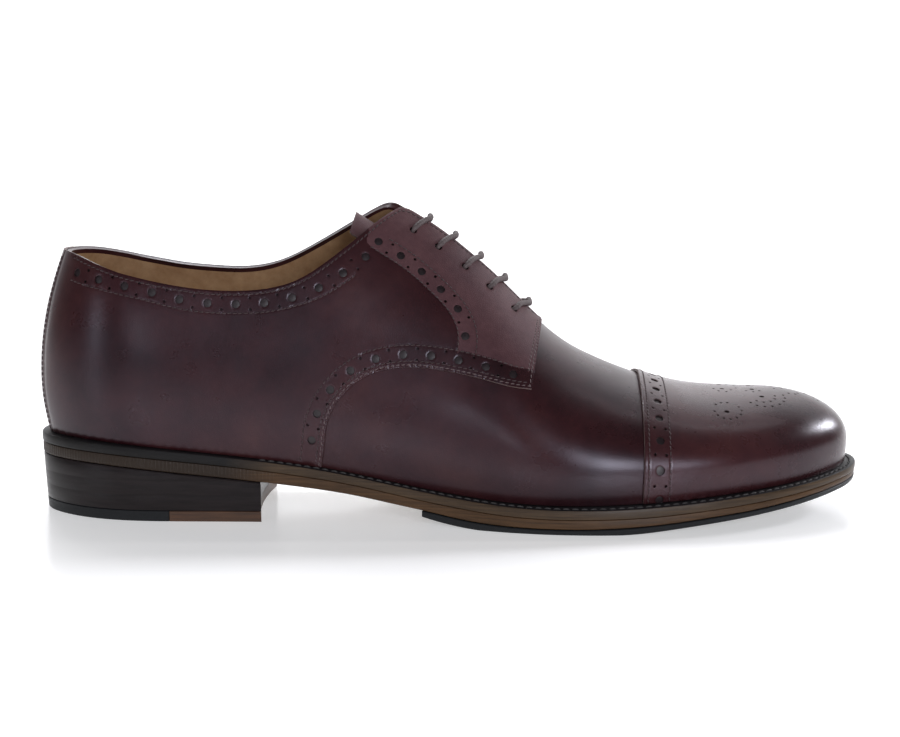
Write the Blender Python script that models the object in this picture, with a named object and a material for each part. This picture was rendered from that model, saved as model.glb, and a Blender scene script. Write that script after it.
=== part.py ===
"""Right derby shoe as an assembly of separate closed solids.

Metres, +Z up, toe towards +X, inner side of the foot towards +Y.
All named sizes are in millimetres; a station is a distance along the shoe
from the back of the heel.  The origin is the middle of the heel's flat
bottom, on the floor.
"""
import math

import bmesh
import bpy
import numpy as np
from mathutils import Vector
from mathutils.geometry import delaunay_2d_cdt

MM = 0.001
LATERAL, MEDIAL = -1, 1
SOLE_LENGTH = 310.7
HEEL_CENTRE = 43.0
HEEL_POLE = 36.0
TOE_POLE = 277.0

UPPER_WALL = 1.6
LEATHER = 1.1
GAP = 0.3
OVERLAY_LOW = 0.35
OVERLAY_HIGH = OVERLAY_LOW + LEATHER
LAYER_GAP = 0.2
EDGE_SETBACK = 0.3

# Plan of the sole, once round from the toe tip by the lateral side.
# station, side offset (minus is lateral)
SOLE_PLAN = [
    (310.7, 4.0), (309.3, -5.0), (306.0, -12.5), (298.8, -21.5), (286.0, -32.8),
    (272.0, -41.0), (254.0, -47.8), (234.0, -51.5), (214.0, -53.6),
    (194.0, -53.0), (176.0, -49.5), (160.0, -44.2), (140.0, -39.0),
    (112.0, -35.6), (82.0, -33.8), (55.0, -33.2), (36.0, -31.6),
    (22.0, -27.2), (9.0, -18.5), (1.8, -9.0), (0.0, 0.0),
    (1.8, 9.0), (9.0, 18.5), (22.0, 27.2), (36.0, 31.0),
    (55.0, 31.6), (82.0, 30.0), (112.0, 28.0), (140.0, 30.0),
    (170.0, 37.5), (198.0, 48.0), (218.0, 53.0), (236.0, 54.0),
    (254.0, 52.4), (272.0, 47.4), (287.0, 39.4), (298.5, 29.6),
    (305.8, 20.0), (309.6, 12.0),
]

# station, upper's foot inside the sole edge on the lateral side, on the
# medial side, height of the welt's top
WELT_TABLE = [
    (0.0, 4.3, 4.3, 29.4), (25.0, 3.9, 3.9, 28.9), (50.0, 3.7, 3.7, 26.9),
    (82.0, 3.8, 3.8, 23.6), (101.0, 4.0, 3.9, 21.2), (119.0, 4.0, 3.7, 18.2),
    (137.0, 4.1, 3.6, 14.7), (155.0, 4.6, 3.8, 11.8), (172.0, 5.2, 4.6, 10.1),
    (194.0, 5.7, 5.2, 9.3), (216.0, 6.2, 5.9, 9.6), (238.0, 6.7, 6.4, 10.8),
    (261.0, 6.6, 6.4, 12.7), (285.0, 6.0, 6.0, 14.7), (300.0, 5.6, 5.6, 16.1),
    (310.7, 5.5, 5.5, 17.2),
]

# station, top of the outsole, its bottom, bottom of the forepart rubber
SOLE_LAYERS = [
    (0.0, 25.7, 21.4, 8.0), (25.0, 25.2, 21.0, 8.0), (50.0, 23.3, 18.9, 8.0),
    (82.0, 20.0, 15.6, 8.0), (101.0, 17.6, 13.5, 8.0), (119.0, 14.8, 11.0, 7.4),
    (137.0, 11.2, 7.5, 5.6), (150.0, 8.9, 5.2, 2.3), (158.0, 7.8, 3.8, 0.8),
    (166.0, 6.9, 2.9, 0.0), (178.0, 6.1, 2.3, 0.0), (190.0, 5.7, 2.1, 0.0),
    (204.0, 5.7, 2.2, 0.0), (216.0, 6.0, 2.6, 0.0), (226.0, 6.4, 3.2, 0.6),
    (238.0, 7.3, 4.3, 1.9), (250.0, 8.4, 5.7, 3.3), (261.0, 9.4, 6.8, 4.5),
    (285.0, 11.7, 9.5, 7.3), (300.0, 13.3, 11.2, 9.1), (310.7, 14.6, 12.5, 10.4),
]

# station, height of the last's ridge, its offset to the medial side.  Ahead
# of the throat it is the vamp's crest, behind it only shapes the sides.
RIDGE_TABLE = [
    (36.0, 150.0, 0.0), (60.0, 148.0, 0.0), (85.0, 142.0, 0.5),
    (105.0, 133.4, 1.0), (122.0, 124.6, 1.5), (136.0, 116.0, 2.0),
    (150.0, 106.8, 2.5), (163.0, 96.1, 3.0), (175.0, 84.6, 3.5),
    (186.0, 73.0, 4.0), (198.0, 62.8, 4.5), (210.0, 56.1, 5.0),
    (225.0, 49.9, 5.5), (240.0, 45.1, 6.0), (256.0, 42.8, 6.5),
    (277.0, 42.2, 7.0),
]

# station, lateral bulge, medial bulge, height of the widest place over the
# welt, pinch of the section (1 is an ellipse, 2 is straight sided)
SECTION_TABLE = [
    (0.0, 2.85, 2.85, 21.0, 2.70), (36.0, 1.8, 1.8, 20.0, 2.50),
    (72.0, 1.4, 2.4, 20.0, 2.15), (107.0, 1.6, 3.6, 20.0, 1.75),
    (137.0, 2.0, 4.0, 17.0, 1.50), (162.0, 2.0, 3.0, 14.0, 1.40),
    (187.0, 2.0, 2.6, 12.0, 1.30), (217.0, 2.0, 2.2, 11.0, 1.15),
    (247.0, 1.6, 1.6, 10.5, 1.05), (279.0, 1.0, 1.0, 10.0, 1.00),
    (310.0, 0.5, 0.5, 9.0, 1.00),
]

# station, height of the topline on the lateral side, on the medial side
TOPLINE_TABLE = [
    (0.0, 97.6, 97.6), (12.0, 96.6, 97.2), (21.0, 94.4, 95.9),
    (39.0, 89.7, 92.4), (52.0, 86.9, 90.0), (64.4, 85.1, 88.8),
    (77.0, 84.5, 88.6), (90.0, 85.5, 91.3), (101.0, 88.9, 96.6),
    (112.0, 95.9, 103.0), (122.6, 104.0, 109.4), (130.0, 109.6, 113.4),
    (136.0, 112.8, 115.2),
]

THROAT_END = 191.0
# how softly the topline turns into the throat's edge, in parts of the rise
CORNER_ROUND = 0.05
# station, half the open width between the two facings
THROAT_TABLE = [(136.0, 4.0), (160.0, 4.1), (180.0, 3.6), (188.0, 2.8), (191.0, 0.0)]

# Lower front edge of a quarter, from the welt up and forward.
# station, height
QUARTER_EDGE = [
    (108.2, 20.8), (109.0, 26.1), (109.6, 31.8), (110.6, 37.3), (112.3, 41.7),
    (115.0, 46.0), (118.7, 50.1), (123.4, 53.6), (128.8, 56.0), (134.9, 57.3),
    (142.0, 57.7), (151.7, 56.8), (161.3, 55.1), (170.0, 53.0), (177.0, 51.2),
    (184.4, 50.0),
]
QUARTER_FRONT = [(185.3, 55.8), (186.6, 61.7), (187.9, 66.5)]

CAP_EDGE_FORWARD = 2.7
CAP_BLEND = 25.0
STRAP_HALF_LOW = 10.0
STRAP_HALF_TOP = 8.5

# station, height of the tongue's crest, drop to its lateral and medial edge,
# half its width
TONGUE_TABLE = [
    (120.0, 111.5, 8.0, 12.0, 12.6), (126.0, 107.6, 8.0, 12.5, 13.2),
    (136.0, 101.8, 8.0, 12.5, 14.0), (150.0, 93.4, 8.0, 12.0, 15.0),
    (165.0, 84.4, 7.0, 11.0, 16.0), (178.0, 74.9, 6.5, 10.5, 16.5),
    (190.0, 64.0, 5.4, 8.8, 16.5), (198.0, 58.0, 4.8, 6.4, 16.5),
]
TONGUE_THICK = 1.2

# station where a lace bar crosses the throat, radius and station of its eyelet
LACE_BARS = [
    (146.5, 11.4, 141.2), (155.8, 12.6, 150.4), (165.2, 13.8, 160.2),
    (174.2, 15.0, 169.2), (183.2, 16.0, 178.2),
]
LACE_RADIUS = 1.0
LACE_LIFT = OVERLAY_HIGH + GAP + 0.2 + LACE_RADIUS
# radius where a bar leaves the facing, and how far it arches over the throat
LACE_SPRING = 4.4
LACE_ARCH = 0.8

HEEL_BREAST = 86.0
HEEL_TAPER = 1.2
BREAST_HOLLOW = 2.5
TOP_LIFT_THICK = 4.0
LIFT_JOINT = 52.0
RUBBER_START = 145.0
INSOLE_RISE = 1.2

# material name, colour, roughness
MATERIALS = {
    "burgundy_calf": ((0.075, 0.026, 0.030), 0.28),
    "facing_calf": ((0.095, 0.045, 0.052), 0.38),
    "tan_lining": ((0.42, 0.27, 0.14), 0.60),
    "welt_leather": ((0.030, 0.024, 0.022), 0.45),
    "sole_leather": ((0.17, 0.085, 0.040), 0.42),
    "blue_black_rubber": ((0.020, 0.023, 0.028), 0.55),
    "black_heel_leather": ((0.018, 0.018, 0.020), 0.38),
    "lace_cotton": ((0.16, 0.125, 0.130), 0.75),
}


def natural_spline(knots, values):
    """Smooth curve through a short table, straight at both ends."""
    x, y = np.asarray(knots, float), np.asarray(values, float)
    count, step = len(x), np.diff(x)
    matrix, right = np.eye(count), np.zeros(count)
    for i in range(1, count - 1):
        matrix[i, i - 1:i + 2] = step[i - 1], 2 * (step[i - 1] + step[i]), step[i]
        right[i] = 6 * ((y[i + 1] - y[i]) / step[i] - (y[i] - y[i - 1]) / step[i - 1])
    bend = np.linalg.solve(matrix, right)

    def value(at):
        at = np.clip(at, x[0], x[-1])
        i = np.clip(np.searchsorted(x, at) - 1, 0, count - 2)
        before, after, h = x[i + 1] - at, at - x[i], step[i]
        cubic = (bend[i] * before ** 3 + bend[i + 1] * after ** 3) / (6 * h)
        return (cubic + (y[i] / h - bend[i] * h / 6) * before
                + (y[i + 1] / h - bend[i + 1] * h / 6) * after)
    return value


def column_spline(table, column):
    return natural_spline([row[0] for row in table], [row[column] for row in table])


def closed_spline(points, samples):
    """Evenly spread points of the smooth closed curve through some points."""
    knots = np.asarray(points, float)
    count = len(knots)
    chord = np.hypot(*(np.roll(knots, -1, 0) - knots).T)
    matrix, right = np.zeros((count, count)), np.zeros((count, 2))
    for i in range(count):
        before, after = (i - 1) % count, (i + 1) % count
        matrix[i, before] += chord[before]
        matrix[i, i] += 2 * (chord[before] + chord[i])
        matrix[i, after] += chord[i]
        right[i] = 6 * ((knots[after] - knots[i]) / chord[i]
                        - (knots[i] - knots[before]) / chord[before])
    bend = np.linalg.solve(matrix, right)
    ends = np.concatenate([[0.0], np.cumsum(chord)])
    at = np.linspace(0.0, ends[-1], samples, endpoint=False)
    i = np.clip(np.searchsorted(ends, at, side="right") - 1, 0, count - 1)
    j = (i + 1) % count
    h = chord[i][:, None]
    after = (at - ends[i])[:, None]
    before = h - after
    return ((bend[i] * before ** 3 + bend[j] * after ** 3) / (6 * h)
            + (knots[i] / h - bend[i] * h / 6) * before
            + (knots[j] / h - bend[j] * h / 6) * after)


def inset(plan, distance):
    """Move a closed plan inwards by a distance, one number or one a point."""
    along = np.roll(plan, -1, 0) - np.roll(plan, 1, 0)
    along /= np.hypot(*along.T)[:, None]
    inward = np.stack([-along[:, 1], along[:, 0]], 1)
    if ((plan - plan.mean(0)) * inward).sum() > 0:
        inward = -inward
    return plan + inward * np.broadcast_to(distance, len(plan))[:, None]


def two_sides(plan):
    """Split a closed plan at its ends into two lines from heel to toe."""
    plan = np.roll(plan, -plan[:, 0].argmax(), 0)
    heel = plan[:, 0].argmin()
    lateral = plan[:heel + 1][::-1]
    medial = np.concatenate([plan[heel:], plan[:1]])
    return {LATERAL: lateral, MEDIAL: medial}


def arc_length(line):
    return np.concatenate([[0.0], np.cumsum(np.hypot(*np.diff(line, axis=0).T))])


welt_top = column_spline(WELT_TABLE, 3)
outsole_top = column_spline(SOLE_LAYERS, 1)
outsole_bottom = column_spline(SOLE_LAYERS, 2)
rubber_curve = column_spline(SOLE_LAYERS, 3)
ridge_height = column_spline(RIDGE_TABLE, 1)
ridge_side = column_spline(RIDGE_TABLE, 2)
bulge = [column_spline(SECTION_TABLE, 1), column_spline(SECTION_TABLE, 2)]
bulge_rise = column_spline(SECTION_TABLE, 3)
pinch = column_spline(SECTION_TABLE, 4)
topline = [column_spline(TOPLINE_TABLE, 1), column_spline(TOPLINE_TABLE, 2)]
tongue_crest = column_spline(TONGUE_TABLE, 1)
tongue_half = column_spline(TONGUE_TABLE, 4)
tongue_drop = {LATERAL: column_spline(TONGUE_TABLE, 2), MEDIAL: column_spline(TONGUE_TABLE, 3)}

SOLE_EDGE = closed_spline(SOLE_PLAN, 2400)
SIDE_BLEND = 20.0


def rubber_bottom(station):
    """Underside of the forepart, flat on the floor under the ball."""
    return np.maximum(rubber_curve(station), 0.0)


def by_side(pair, x, y):
    """Mix a lateral and a medial curve, smoothly round the heel and toe."""
    medial_share = np.clip(y / SIDE_BLEND, -1, 1) * 0.5 + 0.5
    return (1 - medial_share) * pair[0](x) + medial_share * pair[1](x)


def foot_of_upper(extra=0.0):
    """Plan where the upper meets the welt, moved further in by extra."""
    margins = [column_spline(WELT_TABLE, 1), column_spline(WELT_TABLE, 2)]
    return inset(SOLE_EDGE, by_side(margins, SOLE_EDGE[:, 0], SOLE_EDGE[:, 1]) + extra)


FOOT = two_sides(foot_of_upper())
FOOT_ARC = {side: arc_length(line) for side, line in FOOT.items()}
BULGE_AT = 0.2
TOE_SLOPE = float(ridge_height(TOE_POLE) - ridge_height(TOE_POLE - 0.01)) / 0.01


def station_of(side, arc):
    return np.interp(arc, FOOT_ARC[side], FOOT[side][:, 0])


def foot_side(side, arc):
    return np.interp(arc, FOOT_ARC[side], FOOT[side][:, 1])


def arc_of(side, station):
    return np.interp(station, FOOT[side][:, 0], FOOT_ARC[side])


def last_point(side, arc, rise):
    """Point of the last's surface.

    arc is the distance along the foot of the upper from the heel back, and
    rise goes from 0 at the welt to 1 at the ridge.
    """
    arc, rise = np.broadcast_arrays(np.asarray(arc, float), np.asarray(rise, float))
    foot_x = station_of(side, arc)
    foot_y = foot_side(side, arc)
    pole_x = np.clip(foot_x, HEEL_POLE, TOE_POLE)
    pole_y = ridge_side(pole_x)
    reach = np.hypot(foot_x - pole_x, foot_y - pole_y)
    swell, power = by_side(bulge, foot_x, foot_y), pinch(foot_x)
    foot_z = welt_top(foot_x)
    wide_z = foot_z + bulge_rise(foot_x)
    top_z = ridge_height(pole_x)
    low = np.clip(rise / BULGE_AT, 0, 1)
    turn = np.clip((rise - BULGE_AT) / (1 - BULGE_AT), 0, 1) * math.pi / 2
    is_low = rise < BULGE_AT
    full = reach + swell
    radius = np.where(is_low, reach + swell * np.sin(low * math.pi / 2),
                      full * np.maximum(np.cos(turn), 0.0) ** power)
    height = np.where(is_low, foot_z + (wide_z - foot_z) * low,
                      wide_z + (top_z - wide_z) * np.sin(turn))
    x = pole_x + (foot_x - pole_x) / reach * radius
    y = pole_y + (foot_y - pole_y) / reach * radius
    in_toe = (foot_x > TOE_POLE) & ~is_low
    height = height + in_toe * TOE_SLOPE * (x - pole_x) * (1 - (radius / full) ** 2)
    return np.stack([x, y, height], -1)


def last_normal(side, arc, rise):
    """Outward direction of the last's surface."""
    arc, rise = np.broadcast_arrays(np.asarray(arc, float), np.asarray(rise, float))
    end = FOOT_ARC[side][-1]
    near = np.clip(rise, 0.004, 0.985)
    along = (last_point(side, np.minimum(arc + 0.5, end), near)
             - last_point(side, np.maximum(arc - 0.5, 0.0), near))
    up = last_point(side, arc, near + 0.004) - last_point(side, arc, near - 0.004)
    normal = np.cross(along, up) * -side
    normal /= np.linalg.norm(normal, axis=-1)[..., None]
    ridge_x = np.clip(station_of(side, arc), HEEL_POLE, TOE_POLE)
    slope = (ridge_height(ridge_x + 0.05) - ridge_height(ridge_x - 0.05)) / 0.1
    slope = np.where(ridge_x > TOE_POLE - 0.1, TOE_SLOPE, slope)
    crest = np.stack([-slope, np.zeros_like(slope), np.ones_like(slope)], -1)
    crest /= np.linalg.norm(crest, axis=-1)[..., None]
    return np.where((rise > 0.995)[..., None], crest, normal)


def offset_point(side, arc, rise, distance):
    return last_point(side, arc, rise) + last_normal(side, arc, rise) * distance


def rise_of_height(side, arc, height):
    """How far up the section a height lies, for heights over the bulge too."""
    foot_x = station_of(side, arc)
    foot_z = welt_top(foot_x)
    wide_z = foot_z + bulge_rise(foot_x)
    top_z = ridge_height(np.clip(foot_x, HEEL_POLE, TOE_POLE))
    low = BULGE_AT * (height - foot_z) / (wide_z - foot_z)
    sine = np.clip((height - wide_z) / (top_z - wide_z), 0.0, 1.0)
    high = BULGE_AT + (1 - BULGE_AT) * np.arcsin(sine) / (math.pi / 2)
    return np.clip(np.where(height < wide_z, low, high), 0.0, 1.0)


def rise_of_radius(side, arc, radius):
    """How far up the section a distance from the ridge line lies."""
    foot_x = station_of(side, arc)
    foot_y = foot_side(side, arc)
    pole_x = np.clip(foot_x, HEEL_POLE, TOE_POLE)
    swell = by_side(bulge, foot_x, foot_y)
    full = np.hypot(foot_x - pole_x, foot_y - ridge_side(pole_x)) + swell
    cosine = np.clip(radius / full, 0.0, 1.0) ** (1 / pinch(foot_x))
    return BULGE_AT + (1 - BULGE_AT) * np.arccos(cosine) / (math.pi / 2)


def rim_rise(side, arc):
    """Where the upper's wall ends: topline, then throat edge, then ridge."""
    station = station_of(side, arc)
    height = by_side(topline, station, foot_side(side, arc))
    by_topline = rise_of_height(side, arc, height)
    gap = np.interp(station, [row[0] for row in THROAT_TABLE], [row[1] for row in THROAT_TABLE])
    by_throat = rise_of_radius(side, arc, gap)
    share = np.clip(0.5 + (by_throat - by_topline) / (2 * CORNER_ROUND), 0.0, 1.0)
    rounded = CORNER_ROUND * share * (1 - share)
    rise = by_throat + (by_topline - by_throat) * share - rounded
    return np.where(station >= THROAT_END - 0.01, 1.0, rise)


class Skin:
    """Points of the last's surface, each used once, and the faces on them."""

    def __init__(self):
        self.index = {}
        self.points = []
        self.normals = []
        self.faces = []

    def add(self, point, normal):
        key = tuple(np.round(point, 3))
        if key not in self.index:
            self.index[key] = len(self.points)
            self.points.append(np.array(point, float))
            self.normals.append(np.zeros(3))
        self.normals[self.index[key]] = self.normals[self.index[key]] + normal
        return self.index[key]

    def face(self, corners):
        clean = [c for k, c in enumerate(corners) if c != corners[k - 1]]
        if len(clean) > 2:
            self.faces.append(clean)

    def grid(self, rows, flip=False):
        """Quads between rows of point numbers."""
        for low, high in zip(rows, rows[1:]):
            for k in range(len(low) - 1):
                quad = [low[k], low[k + 1], high[k + 1], high[k]]
                self.face(quad[::-1] if flip else quad)

    def unit_normals(self):
        normals = np.array(self.normals)
        return normals / np.linalg.norm(normals, axis=1)[:, None]

    def edge_loop_pairs(self):
        """Edges with one face only, in the direction of that face."""
        used = {}
        for face in self.faces:
            for a, b in zip(face, face[1:] + face[:1]):
                used[(a, b)] = True
        return [pair for pair in used if (pair[1], pair[0]) not in used]


def new_object(name, points, faces, material):
    mesh = bpy.data.meshes.new(name)
    shifted = [((p[0] - HEEL_CENTRE) * MM, p[1] * MM, p[2] * MM) for p in points]
    mesh.from_pydata(shifted, [], faces)
    face_outwards(mesh)
    mesh.materials.append(material_named(material))
    piece = bpy.data.objects.new(name, mesh)
    bpy.context.scene.collection.objects.link(piece)
    return piece


def face_outwards(mesh):
    work = bmesh.new()
    work.from_mesh(mesh)
    bmesh.ops.recalc_face_normals(work, faces=work.faces)
    if work.calc_volume(signed=True) < 0:
        bmesh.ops.reverse_faces(work, faces=work.faces)
    work.to_mesh(mesh)
    work.free()


def material_named(name):
    if name in bpy.data.materials:
        return bpy.data.materials[name]
    colour, roughness = MATERIALS[name]
    material = bpy.data.materials.new(name)
    material.use_nodes = True
    shader = material.node_tree.nodes["Principled BSDF"]
    shader.inputs["Base Color"].default_value = (*colour, 1.0)
    shader.inputs["Roughness"].default_value = roughness
    return material


def shell(name, skin, low, high, material, level_low=False):
    """Closed wall between two offsets of a skin; its faces look outwards."""
    base = np.array(skin.points)
    normals = skin.unit_normals()
    outer, inner = base + normals * high, base + normals * low
    if level_low:
        at_foot = base[:, 2] < welt_top(base[:, 0]) + GAP + 0.4
        inner[at_foot, 2] = base[at_foot, 2]
        outer[at_foot, 2] = base[at_foot, 2]
    count = len(base)
    faces = [list(face) for face in skin.faces]
    faces += [[c + count for c in reversed(face)] for face in skin.faces]
    faces += [[b, a, a + count, b + count] for a, b in skin.edge_loop_pairs()]
    return new_object(name, np.concatenate([outer, inner]), faces, material)


HEEL_COLUMNS, SIDE_COLUMNS, TOE_COLUMNS = 6, 32, 9
SIDE_STATIONS = np.linspace(HEEL_POLE, TOE_POLE, SIDE_COLUMNS + 1)
WALL_ROWS = 10
CAP_COLUMN = 25
FOOT_RISE = GAP


def column_arcs(side):
    """Arc positions of the columns; both sides share their stations between
    the heel pole and the toe pole, so their ridge points are the same."""
    start, end = arc_of(side, HEEL_POLE), arc_of(side, TOE_POLE)
    heel = np.linspace(0.0, start, HEEL_COLUMNS, endpoint=False)
    toe = np.linspace(end, FOOT_ARC[side][-1], TOE_COLUMNS + 1)[1:]
    return np.concatenate([heel, arc_of(side, SIDE_STATIONS), toe])


def foot_rise(side, arc):
    """Start of the wall, a little over the welt."""
    return rise_of_height(side, arc, welt_top(station_of(side, arc)) + FOOT_RISE)


def make_upper():
    """Vamp and lining: one hollow wall, open at collar, throat and bottom."""
    skin = Skin()
    share = np.linspace(0.0, 1.0, WALL_ROWS + 1)
    for side in (LATERAL, MEDIAL):
        arcs = column_arcs(side)
        low, high = foot_rise(side, arcs), rim_rise(side, arcs)
        numbers = []
        for part in share:
            rise = low + (high - low) * part
            points, normals = last_point(side, arcs, rise), last_normal(side, arcs, rise)
            numbers.append([skin.add(p, n) for p, n in zip(points, normals)])
        skin.grid(numbers, flip=side == MEDIAL)
    return shell("upper", skin, -UPPER_WALL, 0.0, "burgundy_calf", level_low=True)


def make_toe_cap():
    """Cap over the toe, raised from the vamp by its own leather."""
    skin = Skin()
    share = np.linspace(0.0, 1.0, WALL_ROWS + 1)
    stations = SIDE_STATIONS[CAP_COLUMN:]
    column = np.concatenate([stations, np.full(TOE_COLUMNS, TOE_POLE)])
    fade = np.clip(1 - (column - column[0]) / CAP_BLEND, 0, 1)
    for side in (LATERAL, MEDIAL):
        arcs = column_arcs(side)[HEEL_COLUMNS + CAP_COLUMN:]
        low = foot_rise(side, arcs)
        numbers = []
        for part in share:
            rise = low + (1.0 - low) * part
            forward = CAP_EDGE_FORWARD * part ** 2 * fade
            moved = np.where(fade > 0, arc_of(side, column + forward), arcs)
            points, normals = last_point(side, moved, rise), last_normal(side, moved, rise)
            numbers.append([skin.add(p, n) for p, n in zip(points, normals)])
        skin.grid(numbers, flip=side == MEDIAL)
    return shell("toe_cap", skin, OVERLAY_LOW, OVERLAY_HIGH, "burgundy_calf", level_low=True)


DOMAIN_RISE = 100.0


def spread(points, step):
    """Closed outline with its points no further apart than step."""
    result = []
    for a, b in zip(points, points[1:] + points[:1]):
        parts = max(1, math.ceil(math.dist(a, b) / step))
        result += [(a[0] + (b[0] - a[0]) * k / parts, a[1] + (b[1] - a[1]) * k / parts)
                   for k in range(parts)]
    return result


def panel_skin(side, outline, step):
    """Triangles over a closed outline given as arc and scaled rise."""
    edge = spread(outline, step)
    lowest = [min(p[k] for p in edge) for k in (0, 1)]
    highest = [max(p[k] for p in edge) for k in (0, 1)]
    border = np.array(edge)
    inner = []
    for i in range(1, int((highest[0] - lowest[0]) / step) + 1):
        for j in range(1, int((highest[1] - lowest[1]) / step) + 1):
            spot = (lowest[0] + i * step, lowest[1] + (j + 0.5 * (i % 2)) * step)
            if np.hypot(*(border - spot).T).min() > step * 0.6:
                inner.append(spot)
    points = [Vector(p) for p in edge + inner]
    loop = [list(range(len(edge)))]
    flat, _, faces, _, _, _ = delaunay_2d_cdt(points, [], loop, 1, 1e-4)
    skin = Skin()
    arcs = np.array([p[0] for p in flat])
    rise = np.array([p[1] for p in flat]) / DOMAIN_RISE
    spots, normals = last_point(side, arcs, rise), last_normal(side, arcs, rise)
    for face in faces:
        skin.face([skin.add(spots[c], normals[c]) for c in face])
    return skin


def domain(side, station, height):
    """Place on a side from its station and height."""
    arc = float(arc_of(side, station))
    return arc, float(rise_of_height(side, arc, height)) * DOMAIN_RISE


def strap_half(rise):
    return STRAP_HALF_LOW + (STRAP_HALF_TOP - STRAP_HALF_LOW) * rise


def quarter_outline(side):
    """Outline of a quarter: foot, lower front edge, facing, topline, back."""
    back_low, back_top = strap_half(0.0) + GAP, strap_half(0.5) + GAP
    front_arc = float(arc_of(side, QUARTER_EDGE[0][0]))
    foot = [(a, float(foot_rise(side, a)) * DOMAIN_RISE)
            for a in np.linspace(back_low, front_arc, 20)]
    edge = [domain(side, *row) for row in QUARTER_EDGE[1:] + QUARTER_FRONT]
    throat_arcs = arc_of(side, np.linspace(THROAT_END - 1.6, 20.0, 34))
    rim = [(a, float(rim_rise(side, a)) * DOMAIN_RISE) for a in throat_arcs]
    rim.append((back_top, float(rim_rise(side, back_top)) * DOMAIN_RISE))
    return foot + edge + rim


def make_quarter(name, side):
    skin = panel_skin(side, quarter_outline(side), 6.2)
    return shell(name, skin, OVERLAY_LOW, OVERLAY_HIGH, "burgundy_calf", level_low=True)


def make_back_strap():
    """Strip over the heel seam, from the welt to the topline."""
    skin = Skin()
    rows = 12
    numbers = [[] for _ in range(rows + 1)]
    for offset in (-1.0, -0.5, 0.0, 0.5, 1.0):
        side = LATERAL if offset < 0 else MEDIAL
        for k in range(rows + 1):
            share = k / rows
            arc = abs(offset) * strap_half(share * 0.5)
            low, high = float(foot_rise(side, arc)), float(rim_rise(side, arc))
            rise = low + (high - low) * share
            spot = last_point(side, arc, rise)
            numbers[k].append(skin.add(spot, last_normal(side, arc, rise)))
    skin.grid(numbers)
    return shell("back_strap", skin, OVERLAY_LOW, OVERLAY_HIGH, "burgundy_calf", level_low=True)


def tongue_point(station, across):
    """Point of the tongue's upper face; across runs from -1 to 1."""
    y = ridge_side(station) + across * tongue_half(station)
    drop = tongue_drop[LATERAL if across < 0 else MEDIAL](station)
    z = tongue_crest(station) - drop * across ** 2
    return np.array([station, float(y), float(z)])


def make_tongue():
    """Tongue under the facings, its end standing clear of the instep."""
    skin = Skin()
    rows = []
    for station in np.linspace(TONGUE_TABLE[0][0], TONGUE_TABLE[-1][0], 11):
        row = []
        for across in np.linspace(-1.0, 1.0, 9):
            along = tongue_point(station + 0.5, across) - tongue_point(station - 0.5, across)
            side = tongue_point(station, across + 0.02) - tongue_point(station, across - 0.02)
            normal = np.cross(along, side)
            row.append(skin.add(tongue_point(station, across), normal / np.linalg.norm(normal)))
        rows.append(row)
    skin.grid(rows)
    return shell("tongue", skin, -TONGUE_THICK, 0.0, "burgundy_calf")


def side_offsets(plan, stations):
    """Side offset of both branches of a plan at some stations."""
    sides = two_sides(plan)
    return [np.interp(stations, sides[s][:, 0], sides[s][:, 1]) for s in (LATERAL, MEDIAL)]


def end_spaced(start, end, steps, round_start, round_end):
    """Stations that crowd towards the rounded ends."""
    t = np.linspace(0.0, 1.0, steps + 1)
    if round_start and round_end:
        t = (1 - np.cos(math.pi * t)) / 2
    elif round_start:
        t = 1 - np.cos(math.pi / 2 * t)
    elif round_end:
        t = np.sin(math.pi / 2 * t)
    return start + (end - start) * t


def slab(name, plans, stations, top, bottom, material, across=2, hollow=(0.0, 0.0)):
    """Solid between two heights over a plan, built in rungs across it.

    plans holds the plan of the top and of the bottom.  hollow bends the
    first and the last rung, so an end can be a curve in plan.
    """
    share = np.linspace(0.0, 1.0, across)
    bow = 1 - (2 * share - 1) ** 2
    span = stations[-1] - stations[0]
    layers = []
    for plan, height in zip(plans, (top, bottom)):
        low, high = side_offsets(plan, stations)
        place = (stations - stations[0]) / span
        shift = np.outer((1 - place) ** 4 * hollow[0] + place ** 4 * hollow[1], bow)
        x = stations[:, None] + shift
        y = low[:, None] + (high - low)[:, None] * share[None, :]
        layers.append(np.stack([x, y, height(x)], -1))
    skin = Skin()
    rows = [[[skin.add(p, np.zeros(3)) for p in rung] for rung in layer] for layer in layers]
    skin.grid(rows[0])
    skin.grid(rows[1])
    ring = [[layer[0][k] for k in range(across)] + [rung[-1] for rung in layer[1:]]
            + [layer[-1][k] for k in range(across - 2, -1, -1)]
            + [rung[0] for rung in reversed(layer[1:-1])] for layer in rows]
    ring = [loop + loop[:1] for loop in ring]
    skin.grid([ring[1], ring[0]])
    return new_object(name, skin.points, skin.faces, material)


def make_welt():
    """Ring that the upper stands on; the insole fills it."""
    count = 96
    pick = np.linspace(0, len(SOLE_EDGE), count, endpoint=False).astype(int)
    outer = SOLE_EDGE[pick]
    inner = foot_of_upper(UPPER_WALL + 0.9)[pick]
    skin = Skin()
    loops = []
    for plan, height in ((outer, outsole_top), (outer, welt_top),
                         (inner, welt_top), (inner, outsole_top)):
        lift = LAYER_GAP if height is outsole_top else 0.0
        z = height(plan[:, 0]) + lift
        loop = [skin.add(p, np.zeros(3)) for p in np.column_stack([plan, z])]
        loops.append(loop + loop[:1])
    loops.append(loops[0])
    skin.grid(loops)
    return new_object("welt", skin.points, skin.faces, "welt_leather")


def make_insole():
    plan = foot_of_upper(UPPER_WALL + 0.9 + GAP)
    ends = two_sides(plan)[LATERAL][:, 0]
    stations = end_spaced(ends[0], ends[-1], 34, True, True)
    return slab("insole", (plan, plan), stations,
                lambda x: welt_top(x) + INSOLE_RISE, lambda x: outsole_top(x) + LAYER_GAP,
                "tan_lining")


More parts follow.
